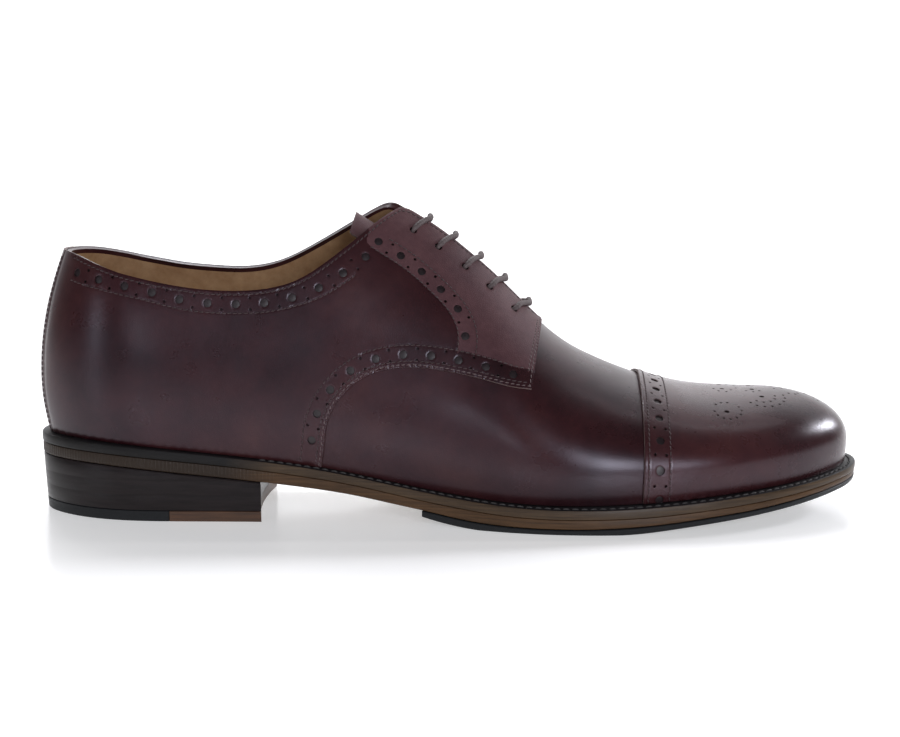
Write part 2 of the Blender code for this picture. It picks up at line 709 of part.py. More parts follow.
def make_outsole():
    plan = inset(SOLE_EDGE, EDGE_SETBACK)
    stations = end_spaced(EDGE_SETBACK, SOLE_LENGTH - EDGE_SETBACK, 44, True, True)
    return slab("outsole", (plan, plan), stations, outsole_top, outsole_bottom, "sole_leather")


def make_forepart_rubber():
    """Thin rubber half sole, skived at its rear edge."""
    plan = inset(SOLE_EDGE, EDGE_SETBACK)
    bottom_plan = inset(SOLE_EDGE, EDGE_SETBACK + 0.5)
    stations = end_spaced(RUBBER_START, SOLE_LENGTH - EDGE_SETBACK - 0.5, 34, False, True)
    return slab("forepart_rubber", (plan, bottom_plan), stations,
                lambda x: outsole_bottom(x) - LAYER_GAP, rubber_bottom,
                "blue_black_rubber", across=4, hollow=(6.0, 0.0))


def heel_plan(height):
    """The heel narrows a little towards the floor."""
    drop = 1 - height / 21.0
    return inset(SOLE_EDGE, EDGE_SETBACK + HEEL_TAPER * drop)


def heel_slab(name, start, end, top, bottom, top_at, bottom_at, material, hollow):
    plans = (heel_plan(top_at), heel_plan(bottom_at))
    back = max(plan[:, 0].min() for plan in plans)
    first = back if start == 0.0 else start
    stations = end_spaced(first, end, 14, start == 0.0, False)
    return slab(name, plans, stations, top, bottom, material, across=5, hollow=hollow)


def level(height):
    return lambda x: np.full(np.shape(x), height)


def make_heel():
    stack_floor = TOP_LIFT_THICK + LAYER_GAP
    heel_slab("heel_stack", 0.0, HEEL_BREAST, lambda x: outsole_bottom(x) - LAYER_GAP,
              level(stack_floor), 20.0, stack_floor, "black_heel_leather",
              (0.0, -BREAST_HOLLOW))
    heel_slab("top_lift_rubber", 0.0, LIFT_JOINT - GAP / 2, level(TOP_LIFT_THICK),
              level(0.0), TOP_LIFT_THICK, 0.0, "blue_black_rubber", (0.0, 5.0))
    heel_slab("top_lift_leather", LIFT_JOINT + GAP / 2, HEEL_BREAST, level(TOP_LIFT_THICK),
              level(0.0), TOP_LIFT_THICK, 0.0, "sole_leather", (5.0, -BREAST_HOLLOW))


def lace_path(crossing, eyelet_radius, eyelet_station):
    """A straight bar's middle line, from one eyelet over the throat."""
    outer = np.linspace(eyelet_radius, LACE_SPRING, 5)
    bridge = np.linspace(LACE_SPRING, -LACE_SPRING, 5)[1:-1]
    path = []
    for radius in np.concatenate([-outer, -bridge, outer[::-1]]):
        side = LATERAL if radius < 0 else MEDIAL
        reach = max(abs(radius), LACE_SPRING)
        share = (reach - LACE_SPRING) / (eyelet_radius - LACE_SPRING)
        station = crossing + (eyelet_station - crossing) * share
        arc = float(arc_of(side, station))
        spot = offset_point(side, arc, float(rise_of_radius(side, arc, reach)), LACE_LIFT)
        if abs(radius) < LACE_SPRING:
            part = abs(radius) / LACE_SPRING
            middle = float(ridge_side(station))
            spot[1] = middle + (spot[1] - middle) * part
            spot[2] += LACE_ARCH * (1 - part ** 2)
        path.append(spot)
    return path


def tube(name, path, radius, material, around=8):
    """Closed round bar along a path."""
    path = np.array(path)
    ahead = np.gradient(path, axis=0)
    ahead /= np.linalg.norm(ahead, axis=1)[:, None]
    skin = Skin()
    rows = []
    for spot, direction in zip(path, ahead):
        first = np.cross(direction, (1.0, 0.0, 0.0))
        first /= np.linalg.norm(first)
        second = np.cross(direction, first)
        angles = np.linspace(0, 2 * math.pi, around, endpoint=False)
        ring = [skin.add(spot + radius * (math.cos(a) * first + math.sin(a) * second),
                         np.zeros(3)) for a in angles]
        rows.append(ring + ring[:1])
    skin.grid(rows)
    skin.faces.append(rows[0][:-1][::-1])
    skin.faces.append(rows[-1][:-1])
    return new_object(name, skin.points, skin.faces, material)


def make_lace():
    for number, row in enumerate(LACE_BARS, 1):
        tube(f"lace_bar_{number}", lace_path(*row), LACE_RADIUS, "lace_cotton")


def clear_scene():
    for piece in list(bpy.data.objects):
        bpy.data.objects.remove(piece, do_unlink=True)


def main():
    clear_scene()
    make_outsole()
    make_forepart_rubber()
    make_heel()
    make_welt()
    make_insole()
    make_upper()
    make_toe_cap()
    make_quarter("quarter_lateral", LATERAL)
    make_quarter("quarter_medial", MEDIAL)
    make_back_strap()
    make_tongue()
    make_lace()


main()
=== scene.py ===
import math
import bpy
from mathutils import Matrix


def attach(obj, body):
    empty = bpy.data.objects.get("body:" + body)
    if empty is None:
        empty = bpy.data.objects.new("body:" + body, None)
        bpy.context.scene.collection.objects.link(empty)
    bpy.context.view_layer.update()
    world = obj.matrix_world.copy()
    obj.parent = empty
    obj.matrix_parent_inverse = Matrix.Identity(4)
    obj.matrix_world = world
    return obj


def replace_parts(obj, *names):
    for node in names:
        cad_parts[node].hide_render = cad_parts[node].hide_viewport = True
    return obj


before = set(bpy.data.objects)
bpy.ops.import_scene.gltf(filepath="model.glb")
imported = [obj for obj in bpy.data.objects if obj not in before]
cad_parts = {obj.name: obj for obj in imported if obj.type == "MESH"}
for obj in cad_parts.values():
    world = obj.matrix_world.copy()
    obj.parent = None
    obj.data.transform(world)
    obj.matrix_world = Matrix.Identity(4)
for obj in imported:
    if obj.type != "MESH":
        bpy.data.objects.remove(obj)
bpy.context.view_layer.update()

# Looks of the right derby shoe.  Named sizes are in millimetres and a station
# is a distance along the shoe from the back of the heel, as in the CAD source.

from types import SimpleNamespace

import bmesh
import bpy
import numpy as np
from mathutils import Vector
from mathutils.geometry import delaunay_2d_cdt

MM = 0.001
LATERAL, MEDIAL = -1, 1
HEEL_CENTRE = 43.0
HEEL_POLE = 36.0
TOE_POLE = 277.0

UPPER_WALL = 1.6
LEATHER = 1.1
GAP = 0.3
OVERLAY_LOW = 0.35
OVERLAY_HIGH = OVERLAY_LOW + LEATHER
LAYER_GAP = 0.2
EDGE_SETBACK = 0.3

# Plan of the sole, once round from the toe tip by the lateral side.
# station, side offset (minus is lateral)
SOLE_PLAN = [
    (310.7, 4.0), (309.3, -5.0), (306.0, -12.5), (298.8, -21.5), (286.0, -32.8),
    (272.0, -41.0), (254.0, -47.8), (234.0, -51.5), (214.0, -53.6),
    (194.0, -53.0), (176.0, -49.5), (160.0, -44.2), (140.0, -39.0),
    (112.0, -35.6), (82.0, -33.8), (55.0, -33.2), (36.0, -31.6),
    (22.0, -27.2), (9.0, -18.5), (1.8, -9.0), (0.0, 0.0),
    (1.8, 9.0), (9.0, 18.5), (22.0, 27.2), (36.0, 31.0),
    (55.0, 31.6), (82.0, 30.0), (112.0, 28.0), (140.0, 30.0),
    (170.0, 37.5), (198.0, 48.0), (218.0, 53.0), (236.0, 54.0),
    (254.0, 52.4), (272.0, 47.4), (287.0, 39.4), (298.5, 29.6),
    (305.8, 20.0), (309.6, 12.0),
]

# station, upper's foot inside the sole edge on the lateral side, on the
# medial side, height of the welt's top
WELT_TABLE = [
    (0.0, 4.3, 4.3, 29.4), (25.0, 3.9, 3.9, 28.9), (50.0, 3.7, 3.7, 26.9),
    (82.0, 3.8, 3.8, 23.6), (101.0, 4.0, 3.9, 21.2), (119.0, 4.0, 3.7, 18.2),
    (137.0, 4.1, 3.6, 14.7), (155.0, 4.6, 3.8, 11.8), (172.0, 5.2, 4.6, 10.1),
    (194.0, 5.7, 5.2, 9.3), (216.0, 6.2, 5.9, 9.6), (238.0, 6.7, 6.4, 10.8),
    (261.0, 6.6, 6.4, 12.7), (285.0, 6.0, 6.0, 14.7), (300.0, 5.6, 5.6, 16.1),
    (310.7, 5.5, 5.5, 17.2),
]

# station, top of the outsole, its bottom, bottom of the forepart rubber
SOLE_LAYERS = [
    (0.0, 25.7, 21.4, 8.0), (25.0, 25.2, 21.0, 8.0), (50.0, 23.3, 18.9, 8.0),
    (82.0, 20.0, 15.6, 8.0), (101.0, 17.6, 13.5, 8.0), (119.0, 14.8, 11.0, 7.4),
    (137.0, 11.2, 7.5, 5.6), (150.0, 8.9, 5.2, 2.3), (158.0, 7.8, 3.8, 0.8),
    (166.0, 6.9, 2.9, 0.0), (178.0, 6.1, 2.3, 0.0), (190.0, 5.7, 2.1, 0.0),
    (204.0, 5.7, 2.2, 0.0), (216.0, 6.0, 2.6, 0.0), (226.0, 6.4, 3.2, 0.6),
    (238.0, 7.3, 4.3, 1.9), (250.0, 8.4, 5.7, 3.3), (261.0, 9.4, 6.8, 4.5),
    (285.0, 11.7, 9.5, 7.3), (300.0, 13.3, 11.2, 9.1), (310.7, 14.6, 12.5, 10.4),
]

# station, height of the last's ridge, its offset to the medial side.  Ahead
# of the throat it is the vamp's crest, behind it only shapes the sides.
RIDGE_TABLE = [
    (36.0, 150.0, 0.0), (60.0, 148.0, 0.0), (85.0, 142.0, 0.5),
    (105.0, 133.4, 1.0), (122.0, 124.6, 1.5), (136.0, 116.0, 2.0),
    (150.0, 106.8, 2.5), (163.0, 96.1, 3.0), (175.0, 84.6, 3.5),
    (186.0, 73.0, 4.0), (198.0, 62.8, 4.5), (210.0, 56.1, 5.0),
    (225.0, 49.9, 5.5), (240.0, 45.1, 6.0), (256.0, 42.8, 6.5),
    (277.0, 42.2, 7.0),
]

# station, lateral bulge, medial bulge, height of the widest place over the
# welt, pinch of the section (1 is an ellipse, 2 is straight sided)
SECTION_TABLE = [
    (0.0, 2.85, 2.85, 21.0, 2.70), (36.0, 1.8, 1.8, 20.0, 2.50),
    (72.0, 1.4, 2.4, 20.0, 2.15), (107.0, 1.6, 3.6, 20.0, 1.75),
    (137.0, 2.0, 4.0, 17.0, 1.50), (162.0, 2.0, 3.0, 14.0, 1.40),
    (187.0, 2.0, 2.6, 12.0, 1.30), (217.0, 2.0, 2.2, 11.0, 1.15),
    (247.0, 1.6, 1.6, 10.5, 1.05), (279.0, 1.0, 1.0, 10.0, 1.00),
    (310.0, 0.5, 0.5, 9.0, 1.00),
]

# station, height of the topline on the lateral side, on the medial side
TOPLINE_TABLE = [
    (0.0, 97.6, 97.6), (12.0, 96.6, 97.2), (21.0, 94.4, 95.9),
    (39.0, 89.7, 92.4), (52.0, 86.9, 90.0), (64.4, 85.1, 88.8),
    (77.0, 84.5, 88.6), (90.0, 85.5, 91.3), (101.0, 88.9, 96.6),
    (112.0, 95.9, 103.0), (122.6, 104.0, 109.4), (130.0, 109.6, 113.4),
    (136.0, 112.8, 115.2),
]

THROAT_END = 191.0
# how softly the topline turns into the throat's edge, in parts of the rise
CORNER_ROUND = 0.05
# station, half the open width between the two facings
THROAT_TABLE = [(136.0, 4.0), (160.0, 4.1), (180.0, 3.6), (188.0, 2.8), (191.0, 0.0)]

# Lower front edge of a quarter, from the welt up and forward.
# station, height
QUARTER_EDGE = [
    (108.2, 20.8), (109.0, 26.1), (109.6, 31.8), (110.6, 37.3), (112.3, 41.7),
    (115.0, 46.0), (118.7, 50.1), (123.4, 53.6), (128.8, 56.0), (134.9, 57.3),
    (142.0, 57.7), (151.7, 56.8), (161.3, 55.1), (170.0, 53.0), (177.0, 51.2),
    (184.4, 50.0),
]
QUARTER_FRONT = [(185.3, 55.8), (186.6, 61.7), (187.9, 66.5)]

CAP_EDGE_FORWARD = 2.7
STRAP_HALF_LOW = 10.0
STRAP_HALF_TOP = 8.5

# station, height of the tongue's crest, drop to its lateral and medial edge,
# half its width
TONGUE_TABLE = [
    (120.0, 111.5, 8.0, 12.0, 12.6), (126.0, 107.6, 8.0, 12.5, 13.2),
    (136.0, 101.8, 8.0, 12.5, 14.0), (150.0, 93.4, 8.0, 12.0, 15.0),
    (165.0, 84.4, 7.0, 11.0, 16.0), (178.0, 74.9, 6.5, 10.5, 16.5),
    (190.0, 64.0, 5.4, 8.8, 16.5), (198.0, 58.0, 4.8, 6.4, 16.5),
]
TONGUE_THICK = 1.2

# station where a lace bar crosses the throat, radius and station of its eyelet
LACE_BARS = [
    (146.5, 11.4, 141.2), (155.8, 12.6, 150.4), (165.2, 13.8, 160.2),
    (174.2, 15.0, 169.2), (183.2, 16.0, 178.2),
]
LACE_RADIUS = 1.0
LACE_LIFT = OVERLAY_HIGH + GAP + 0.2 + LACE_RADIUS
# radius where a bar leaves the facing, and how far it arches over the throat
LACE_SPRING = 4.4
LACE_ARCH = 0.8

HEEL_BREAST = 86.0
HEEL_TAPER = 1.2
BREAST_HOLLOW = 2.5
TOP_LIFT_THICK = 4.0
LIFT_JOINT = 52.0
RUBBER_START = 145.0
INSOLE_RISE = 1.2
FOOT_RISE = GAP
CAP_COLUMNS, CAP_COLUMN = 33, 25
FACING_TOP = 136.0


def cubic(before, after, span, low, high, bend_low, bend_high):
    """Piece of a smooth curve between two knots a span apart."""
    return ((bend_low * before ** 3 + bend_high * after ** 3) / (6 * span)
            + (low / span - bend_low * span / 6) * before
            + (high / span - bend_high * span / 6) * after)


def natural_spline(knots, values):
    """Smooth curve through a short table, straight at both ends."""
    x, y = np.asarray(knots, float), np.asarray(values, float)
    count, step = len(x), np.diff(x)
    matrix, right = np.eye(count), np.zeros(count)
    for i in range(1, count - 1):
        matrix[i, i - 1:i + 2] = step[i - 1], 2 * (step[i - 1] + step[i]), step[i]
        right[i] = 6 * ((y[i + 1] - y[i]) / step[i] - (y[i] - y[i - 1]) / step[i - 1])
    bend = np.linalg.solve(matrix, right)

    def value(at):
        at = np.clip(at, x[0], x[-1])
        i = np.clip(np.searchsorted(x, at) - 1, 0, count - 2)
        j = i + 1
        return cubic(x[j] - at, at - x[i], step[i], y[i], y[j], bend[i], bend[j])
    return value


def column_splines(table):
    """A smooth curve over the first column for each other column."""
    stations, *columns = zip(*table)
    return [natural_spline(stations, column) for column in columns]


def closed_spline(points, samples):
    """Evenly spread points of the smooth closed curve through some points."""
    knots = np.asarray(points, float)
    count = len(knots)
    chord = np.hypot(*(np.roll(knots, -1, 0) - knots).T)
    matrix, right = np.zeros((count, count)), np.zeros((count, 2))
    for i in range(count):
        before, after = (i - 1) % count, (i + 1) % count
        matrix[i, before] += chord[before]
        matrix[i, i] += 2 * (chord[before] + chord[i])
        matrix[i, after] += chord[i]
        right[i] = 6 * ((knots[after] - knots[i]) / chord[i]
                        - (knots[i] - knots[before]) / chord[before])
    bend = np.linalg.solve(matrix, right)
    ends = np.concatenate([[0.0], np.cumsum(chord)])
    at = np.linspace(0.0, ends[-1], samples, endpoint=False)
    i = np.clip(np.searchsorted(ends, at, side="right") - 1, 0, count - 1)
    j = (i + 1) % count
    span = chord[i][:, None]
    after = (at - ends[i])[:, None]
    return cubic(span - after, after, span, knots[i], knots[j], bend[i], bend[j])


def inset(plan, distance):
    """Move a closed plan inwards by a distance, one number or one a point."""
    along = np.roll(plan, -1, 0) - np.roll(plan, 1, 0)
    along /= np.hypot(*along.T)[:, None]
    inward = np.stack([-along[:, 1], along[:, 0]], 1)
    if ((plan - plan.mean(0)) * inward).sum() > 0:
        inward = -inward
    return plan + inward * np.broadcast_to(distance, len(plan))[:, None]


def two_sides(plan):
    """Split a closed plan at its ends into two lines from heel to toe."""
    plan = np.roll(plan, -plan[:, 0].argmax(), 0)
    heel = plan[:, 0].argmin()
    lateral = plan[:heel + 1][::-1]
    medial = np.concatenate([plan[heel:], plan[:1]])
    return {LATERAL: lateral, MEDIAL: medial}


def arc_length(line):
    """Distance along a flat line to each of its points."""
    return np.concatenate([[0.0], np.cumsum(np.hypot(*np.diff(line, axis=0).T))])


def path_length(points):
    """Distance along a line in space to each of its points."""
    steps = np.linalg.norm(np.diff(points, axis=0), axis=1)
    return np.concatenate([[0.0], np.cumsum(steps)])


def sampled(at, reach, table):
    """Columns of a table, read off straight between its rows."""
    return np.stack([np.interp(at, reach, column) for column in table.T], -1)


def splined(at, reach, table):
    """Columns of a table, read off smooth curves through its rows."""
    return np.stack([natural_spline(reach, column)(at) for column in table.T], -1)


def unit(vectors):
    return vectors / np.linalg.norm(vectors, axis=-1)[..., None]


def turned(first, second, count):
    """Vectors that turn once round from one direction by another."""
    angle = np.linspace(0, 2 * math.pi, count, endpoint=False)[:, None]
    return np.cos(angle) * first + np.sin(angle) * second


*margins, welt_top = column_splines(WELT_TABLE)
outsole_top, outsole_bottom, rubber_curve = column_splines(SOLE_LAYERS)
ridge_height, ridge_side = column_splines(RIDGE_TABLE)
*bulge, bulge_rise, pinch = column_splines(SECTION_TABLE)
topline = column_splines(TOPLINE_TABLE)
tongue_crest, *tongue_drops, tongue_half = column_splines(TONGUE_TABLE)
tongue_drop = dict(zip((LATERAL, MEDIAL), tongue_drops))

SOLE_SAMPLES = 4800
SOLE_EDGE = closed_spline(SOLE_PLAN, SOLE_SAMPLES)
SIDE_BLEND = 20.0


def rubber_bottom(station):
    """Underside of the forepart, flat on the floor under the ball."""
    return np.maximum(rubber_curve(station), 0.0)


def by_side(pair, x, y):
    """Mix a lateral and a medial curve, smoothly round the heel and toe."""
    medial_share = np.clip(y / SIDE_BLEND, -1, 1) * 0.5 + 0.5
    return (1 - medial_share) * pair[0](x) + medial_share * pair[1](x)


def foot_of_upper(extra=0.0):
    """Plan where the upper meets the welt, moved further in by extra."""
    return inset(SOLE_EDGE, by_side(margins, *SOLE_EDGE.T) + extra)


FOOT = two_sides(foot_of_upper())
FOOT_ARC = {side: arc_length(line) for side, line in FOOT.items()}
BULGE_AT = 0.2
TOE_SLOPE = float(ridge_height(TOE_POLE) - ridge_height(TOE_POLE - 0.01)) / 0.01


def station_of(side, arc):
    return np.interp(arc, FOOT_ARC[side], FOOT[side][:, 0])


def foot_side(side, arc):
    return np.interp(arc, FOOT_ARC[side], FOOT[side][:, 1])


def arc_of(side, station):
    return np.interp(station, FOOT[side][:, 0], FOOT_ARC[side])


def section(side, arc):
    """Foot, pole, reach and heights of the last's section at an arc."""
    foot_x, foot_y = station_of(side, arc), foot_side(side, arc)
    pole_x = np.clip(foot_x, HEEL_POLE, TOE_POLE)
    pole_y = ridge_side(pole_x)
    foot_z = welt_top(foot_x)
    return SimpleNamespace(
        foot_x=foot_x, foot_y=foot_y, foot_z=foot_z, pole_x=pole_x, pole_y=pole_y,
        reach=np.hypot(foot_x - pole_x, foot_y - pole_y), swell=by_side(bulge, foot_x, foot_y),
        wide_z=foot_z + bulge_rise(foot_x), top_z=ridge_height(pole_x))


def last_point(side, arc, rise):
    """Point of the last's surface.

    arc is the distance along the foot of the upper from the heel back, and
    rise goes from 0 at the welt to 1 at the ridge.
    """
    arc, rise = np.broadcast_arrays(np.asarray(arc, float), np.asarray(rise, float))
    at = section(side, arc)
    low = np.clip(rise / BULGE_AT, 0, 1)
    turn = np.clip((rise - BULGE_AT) / (1 - BULGE_AT), 0, 1) * math.pi / 2
    is_low = rise < BULGE_AT
    full = at.reach + at.swell
    radius = np.where(is_low, at.reach + at.swell * np.sin(low * math.pi / 2),
                      full * np.maximum(np.cos(turn), 0.0) ** pinch(at.foot_x))
    height = np.where(is_low, at.foot_z + (at.wide_z - at.foot_z) * low,
                      at.wide_z + (at.top_z - at.wide_z) * np.sin(turn))
    x = at.pole_x + (at.foot_x - at.pole_x) / at.reach * radius
    y = at.pole_y + (at.foot_y - at.pole_y) / at.reach * radius
    in_toe = (at.foot_x > TOE_POLE) & ~is_low
    height = height + in_toe * TOE_SLOPE * (x - at.pole_x) * (1 - (radius / full) ** 2)
    return np.stack([x, y, height], -1)


# steps that a direction is measured over, and the rise from which the ridge's
# own direction counts
ARC_STEP, RISE_STEP, RIDGE_STEP = 0.5, 0.004, 0.05
NEAR_RIDGE, AT_RIDGE = 0.985, 0.995


def last_normal(side, arc, rise):
    """Outward direction of the last's surface."""
    arc, rise = np.broadcast_arrays(np.asarray(arc, float), np.asarray(rise, float))
    near = np.clip(rise, RISE_STEP, NEAR_RIDGE)
    along = (last_point(side, np.minimum(arc + ARC_STEP, FOOT_ARC[side][-1]), near)
             - last_point(side, np.maximum(arc - ARC_STEP, 0.0), near))
    up = last_point(side, arc, near + RISE_STEP) - last_point(side, arc, near - RISE_STEP)
    normal = unit(np.cross(along, up) * -side)
    x = np.clip(station_of(side, arc), HEEL_POLE, TOE_POLE)
    slope = (ridge_height(x + RIDGE_STEP) - ridge_height(x - RIDGE_STEP)) / (2 * RIDGE_STEP)
    slope = np.where(x > TOE_POLE - 2 * RIDGE_STEP, TOE_SLOPE, slope)
    crest = unit(np.stack([-slope, np.zeros_like(slope), np.ones_like(slope)], -1))
    return np.where((rise > AT_RIDGE)[..., None], crest, normal)


def offset_point(side, arc, rise, distance):
    return last_point(side, arc, rise) + last_normal(side, arc, rise) * distance


def rise_of_height(side, arc, height):
    """How far up the section a height lies, for heights over the bulge too."""
    at = section(side, arc)
    low = BULGE_AT * (height - at.foot_z) / (at.wide_z - at.foot_z)
    sine = np.clip((height - at.wide_z) / (at.top_z - at.wide_z), 0.0, 1.0)
    high = BULGE_AT + (1 - BULGE_AT) * np.arcsin(sine) / (math.pi / 2)
    return np.clip(np.where(height < at.wide_z, low, high), 0.0, 1.0)


def rise_of_radius(side, arc, radius):
    """How far up the section a distance from the ridge line lies."""
    at = section(side, arc)
    cosine = np.clip(radius / (at.reach + at.swell), 0.0, 1.0) ** (1 / pinch(at.foot_x))
    return BULGE_AT + (1 - BULGE_AT) * np.arccos(cosine) / (math.pi / 2)


def rim_rise(side, arc):
    """Where the upper's wall ends: topline, then throat edge, then ridge."""
    station = station_of(side, arc)
    height = by_side(topline, station, foot_side(side, arc))
    by_topline = rise_of_height(side, arc, height)
    gap = np.interp(station, *zip(*THROAT_TABLE))
    by_throat = rise_of_radius(side, arc, gap)
    share = np.clip(0.5 + (by_throat - by_topline) / (2 * CORNER_ROUND), 0.0, 1.0)
    rounded = CORNER_ROUND * share * (1 - share)
    rise = by_throat + (by_topline - by_throat) * share - rounded
    return np.where(station >= THROAT_END - 0.01, 1.0, rise)


# Surface of the leather

UNEVEN = 0.07
# station, side, rise, length along the crease, depth of a flex crease
CREASES = [
    (197.0, LATERAL, 0.60, 24.0, 0.05), (205.5, LATERAL, 0.52, 26.0, 0.06),
    (213.5, LATERAL, 0.30, 18.0, 0.05), (198.5, MEDIAL, 0.60, 26.0, 0.06),
    (206.0, MEDIAL, 0.50, 28.0, 0.07), (214.0, MEDIAL, 0.62, 18.0, 0.05),
]
CREASE_WIDTH, CREASE_SLANT = 2.6, 0.16
# length of the section that a rise of 1 stands for over the vamp
VAMP_GIRTH = 62.0
# swelling beside a crease: its distance and width in widths of the crease,
# and its height in depths
SWELL_AT, SWELL_WIDTH, SWELL_HEIGHT = 2.4, 1.5, 0.3


def unevenness(points):
    """Slight waviness that every layer of leather shares."""
    x, y, z = points[..., 0], points[..., 1], points[..., 2]
    broad = np.sin(x / 8.3 + z / 13.0 + 0.6) * np.sin(z / 9.1 - y / 11.0 + 1.1)
    fine = np.sin(x / 3.9 - z / 5.2) * np.sin(y / 4.7 + z / 6.1 + x / 17.0)
    return UNEVEN * (0.75 * broad + 0.25 * fine)


def crease_depth(side, station, rise):
    """How far the walking creases dip across the vamp."""
    depth = np.zeros(np.shape(station))
    for middle, on_side, height, length, deep in CREASES:
        if on_side != side:
            continue
        along = (rise - height) * VAMP_GIRTH
        across = station - middle - CREASE_SLANT * along
        fade = np.exp(-(along / (length / 2)) ** 2)
        valley = np.exp(-(across / CREASE_WIDTH) ** 2)
        beyond_it = np.abs(across) - SWELL_AT * CREASE_WIDTH
        swelling = np.exp(-(beyond_it / (SWELL_WIDTH * CREASE_WIDTH)) ** 2)
        depth = depth + deep * fade * (valley - SWELL_HEIGHT * swelling)
    return depth


# Flat charts of the surface: each place() turns flat coordinates into points
# and outward normals

RISE_SCALE = 100.0
CAP_SPREAD = 66.0


def side_chart(side):
    """Chart of one side: arc along, scaled rise up."""
    def place(flat):
        arc, wanted = flat[..., 0], flat[..., 1] / RISE_SCALE
        rise = np.clip(wanted, 0.0, 1.0)
        normals = last_normal(side, arc, rise)
        return last_point(side, arc, rise) + beyond(wanted - rise, -side), normals
    return place


def beyond(excess, across):
    """Straight continuation under the welt's line or over the ridge."""
    down = np.minimum(excess, 0.0) * RISE_SCALE
    over = np.maximum(excess, 0.0) * CAP_SPREAD * across
    return np.stack([np.zeros_like(excess), over, down], -1)


def toe_angles(side):
    picked = FOOT[side][:, 0] >= TOE_POLE
    foot, arcs = FOOT[side][picked], FOOT_ARC[side][picked]
    angle = np.arctan2(foot[:, 1] - ridge_side(TOE_POLE), foot[:, 0] - TOE_POLE)
    order = np.argsort(angle)
    return angle[order], arcs[order]


TOE_ANGLES = {side: toe_angles(side) for side in (LATERAL, MEDIAL)}
TIP_ANGLE = float(TOE_ANGLES[LATERAL][0][-1])


def cap_chart(flat):
    """Chart of the toe: station along, unrolled distance from the ridge across."""
    station, across = flat[..., 0], flat[..., 1]
    ahead = np.maximum(station - TOE_POLE, 0.0)
    reach = np.where(station > TOE_POLE, np.hypot(ahead, across), np.abs(across))
    wanted = 1.0 - reach / CAP_SPREAD
    rise = np.maximum(wanted, 0.0)
    angle = np.arctan2(across, ahead)
    found = []
    for side in (LATERAL, MEDIAL):
        by_station = arc_of(side, np.minimum(station, TOE_POLE))
        by_angle = np.interp(angle, *TOE_ANGLES[side])
        arc = np.where(station > TOE_POLE, by_angle, by_station)
        found.append((last_point(side, arc, rise), last_normal(side, arc, rise)))
    lateral = np.where(station > TOE_POLE, angle < TIP_ANGLE, across < 0)[..., None]
    points = np.where(lateral, found[0][0], found[1][0]) + beyond(wanted - rise, 0.0)
    return points, np.where(lateral, found[0][1], found[1][1])


SLOPE_STEP = 0.15
ROW_PARTS = 12
WALK_STEP = 2.0
# a direction that no hole's normal has
ANY_WAY = (0.3, 0.1, 1.0)


def slopes(place, flat):
    """Movement of the surface for a step along each flat axis."""
    return [(place(flat + shift)[0] - place(flat - shift)[0]) / (2 * SLOPE_STEP)
            for shift in np.eye(2) * SLOPE_STEP]


def walk(place, flat, move):
    """Flat places reached by moving over the surface."""
    first, second = slopes(place, flat)
    ff, fs, ss = (first * first).sum(-1), (first * second).sum(-1), (second * second).sum(-1)
    mf, ms = (move * first).sum(-1), (move * second).sum(-1)
    size = ff * ss - fs * fs
    return flat + np.stack([(ss * mf - fs * ms) / size, (ff * ms - fs * mf) / size], -1)


def row_frames(place, row):
    """Points, directions along, directions to the left and normals of a row."""
    points, normals = place(row)
    along = unit(np.gradient(points, axis=0))
    return points, along, unit(np.cross(normals, along)), normals


def evenly(place, row, step, start=0.0, stop=None):
    """Flat places on a row at even distances over the surface."""
    fine = np.concatenate([np.linspace(a, b, ROW_PARTS, endpoint=False)
                           for a, b in zip(row, row[1:])] + [row[-1:]])
    reach = path_length(place(fine)[0])
    last = reach[-1] if stop is None else min(stop, reach[-1])
    return sampled(np.arange(start, last + 1e-6, step), reach, fine)


def beside(place, row, distance):
    """A row moved to its left over the surface, in small steps."""
    parts = max(1, math.ceil(abs(distance) / WALK_STEP))
    left = row_frames(place, row)[2]
    for _ in range(parts):
        row = walk(place, row, left * (distance / parts))
    return row


def smooth_row(knots, count=60):
    """Fine row of flat places through a few knots."""
    knots = np.asarray(knots, float)
    reach = arc_length(knots)
    return splined(np.linspace(0.0, reach[-1], count), reach, knots)


def across_of(normal):
    """Two directions at right angles to a normal."""
    first = unit(np.cross(normal, ANY_WAY))
    return first, np.cross(normal, first)


def circle(place, centre, radius, count):
    """Round hole's outline in flat coordinates."""
    centre = np.asarray(centre, float)[None]
    first, second = across_of(place(centre)[1][0])
    return walk(place, np.repeat(centre, count, 0), radius * turned(first, second, count))


# Meshes

def in_scene(name, data):
    """New object of the scene with some data."""
    holder = bpy.data.objects.new(name, data)
    bpy.context.scene.collection.objects.link(holder)
    return holder


def mesh_object(name, points, faces, materials, indices=None, sharp=38.0):
    """Piece that rides the root body, from points in the CAD source's stations."""
    mesh = bpy.data.meshes.new(name)
    shifted = np.asarray(points, float) - (HEEL_CENTRE, 0.0, 0.0)
    mesh.from_pydata((shifted * MM).tolist(), [], faces)
    for material in materials:
        mesh.materials.append(material)
    if indices is not None:
        mesh.polygons.foreach_set("material_index", indices)
    face_outwards(mesh)
    mesh.polygons.foreach_set("use_smooth", [True] * len(mesh.polygons))
    mesh.set_sharp_from_angle(angle=math.radians(sharp))
    piece = in_scene(name, mesh)
    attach(piece, "root")
    return piece


def face_outwards(mesh):
    work = bmesh.new()
    work.from_mesh(mesh)
    bmesh.ops.recalc_face_normals(work, faces=work.faces)
    work.to_mesh(mesh)
    work.free()


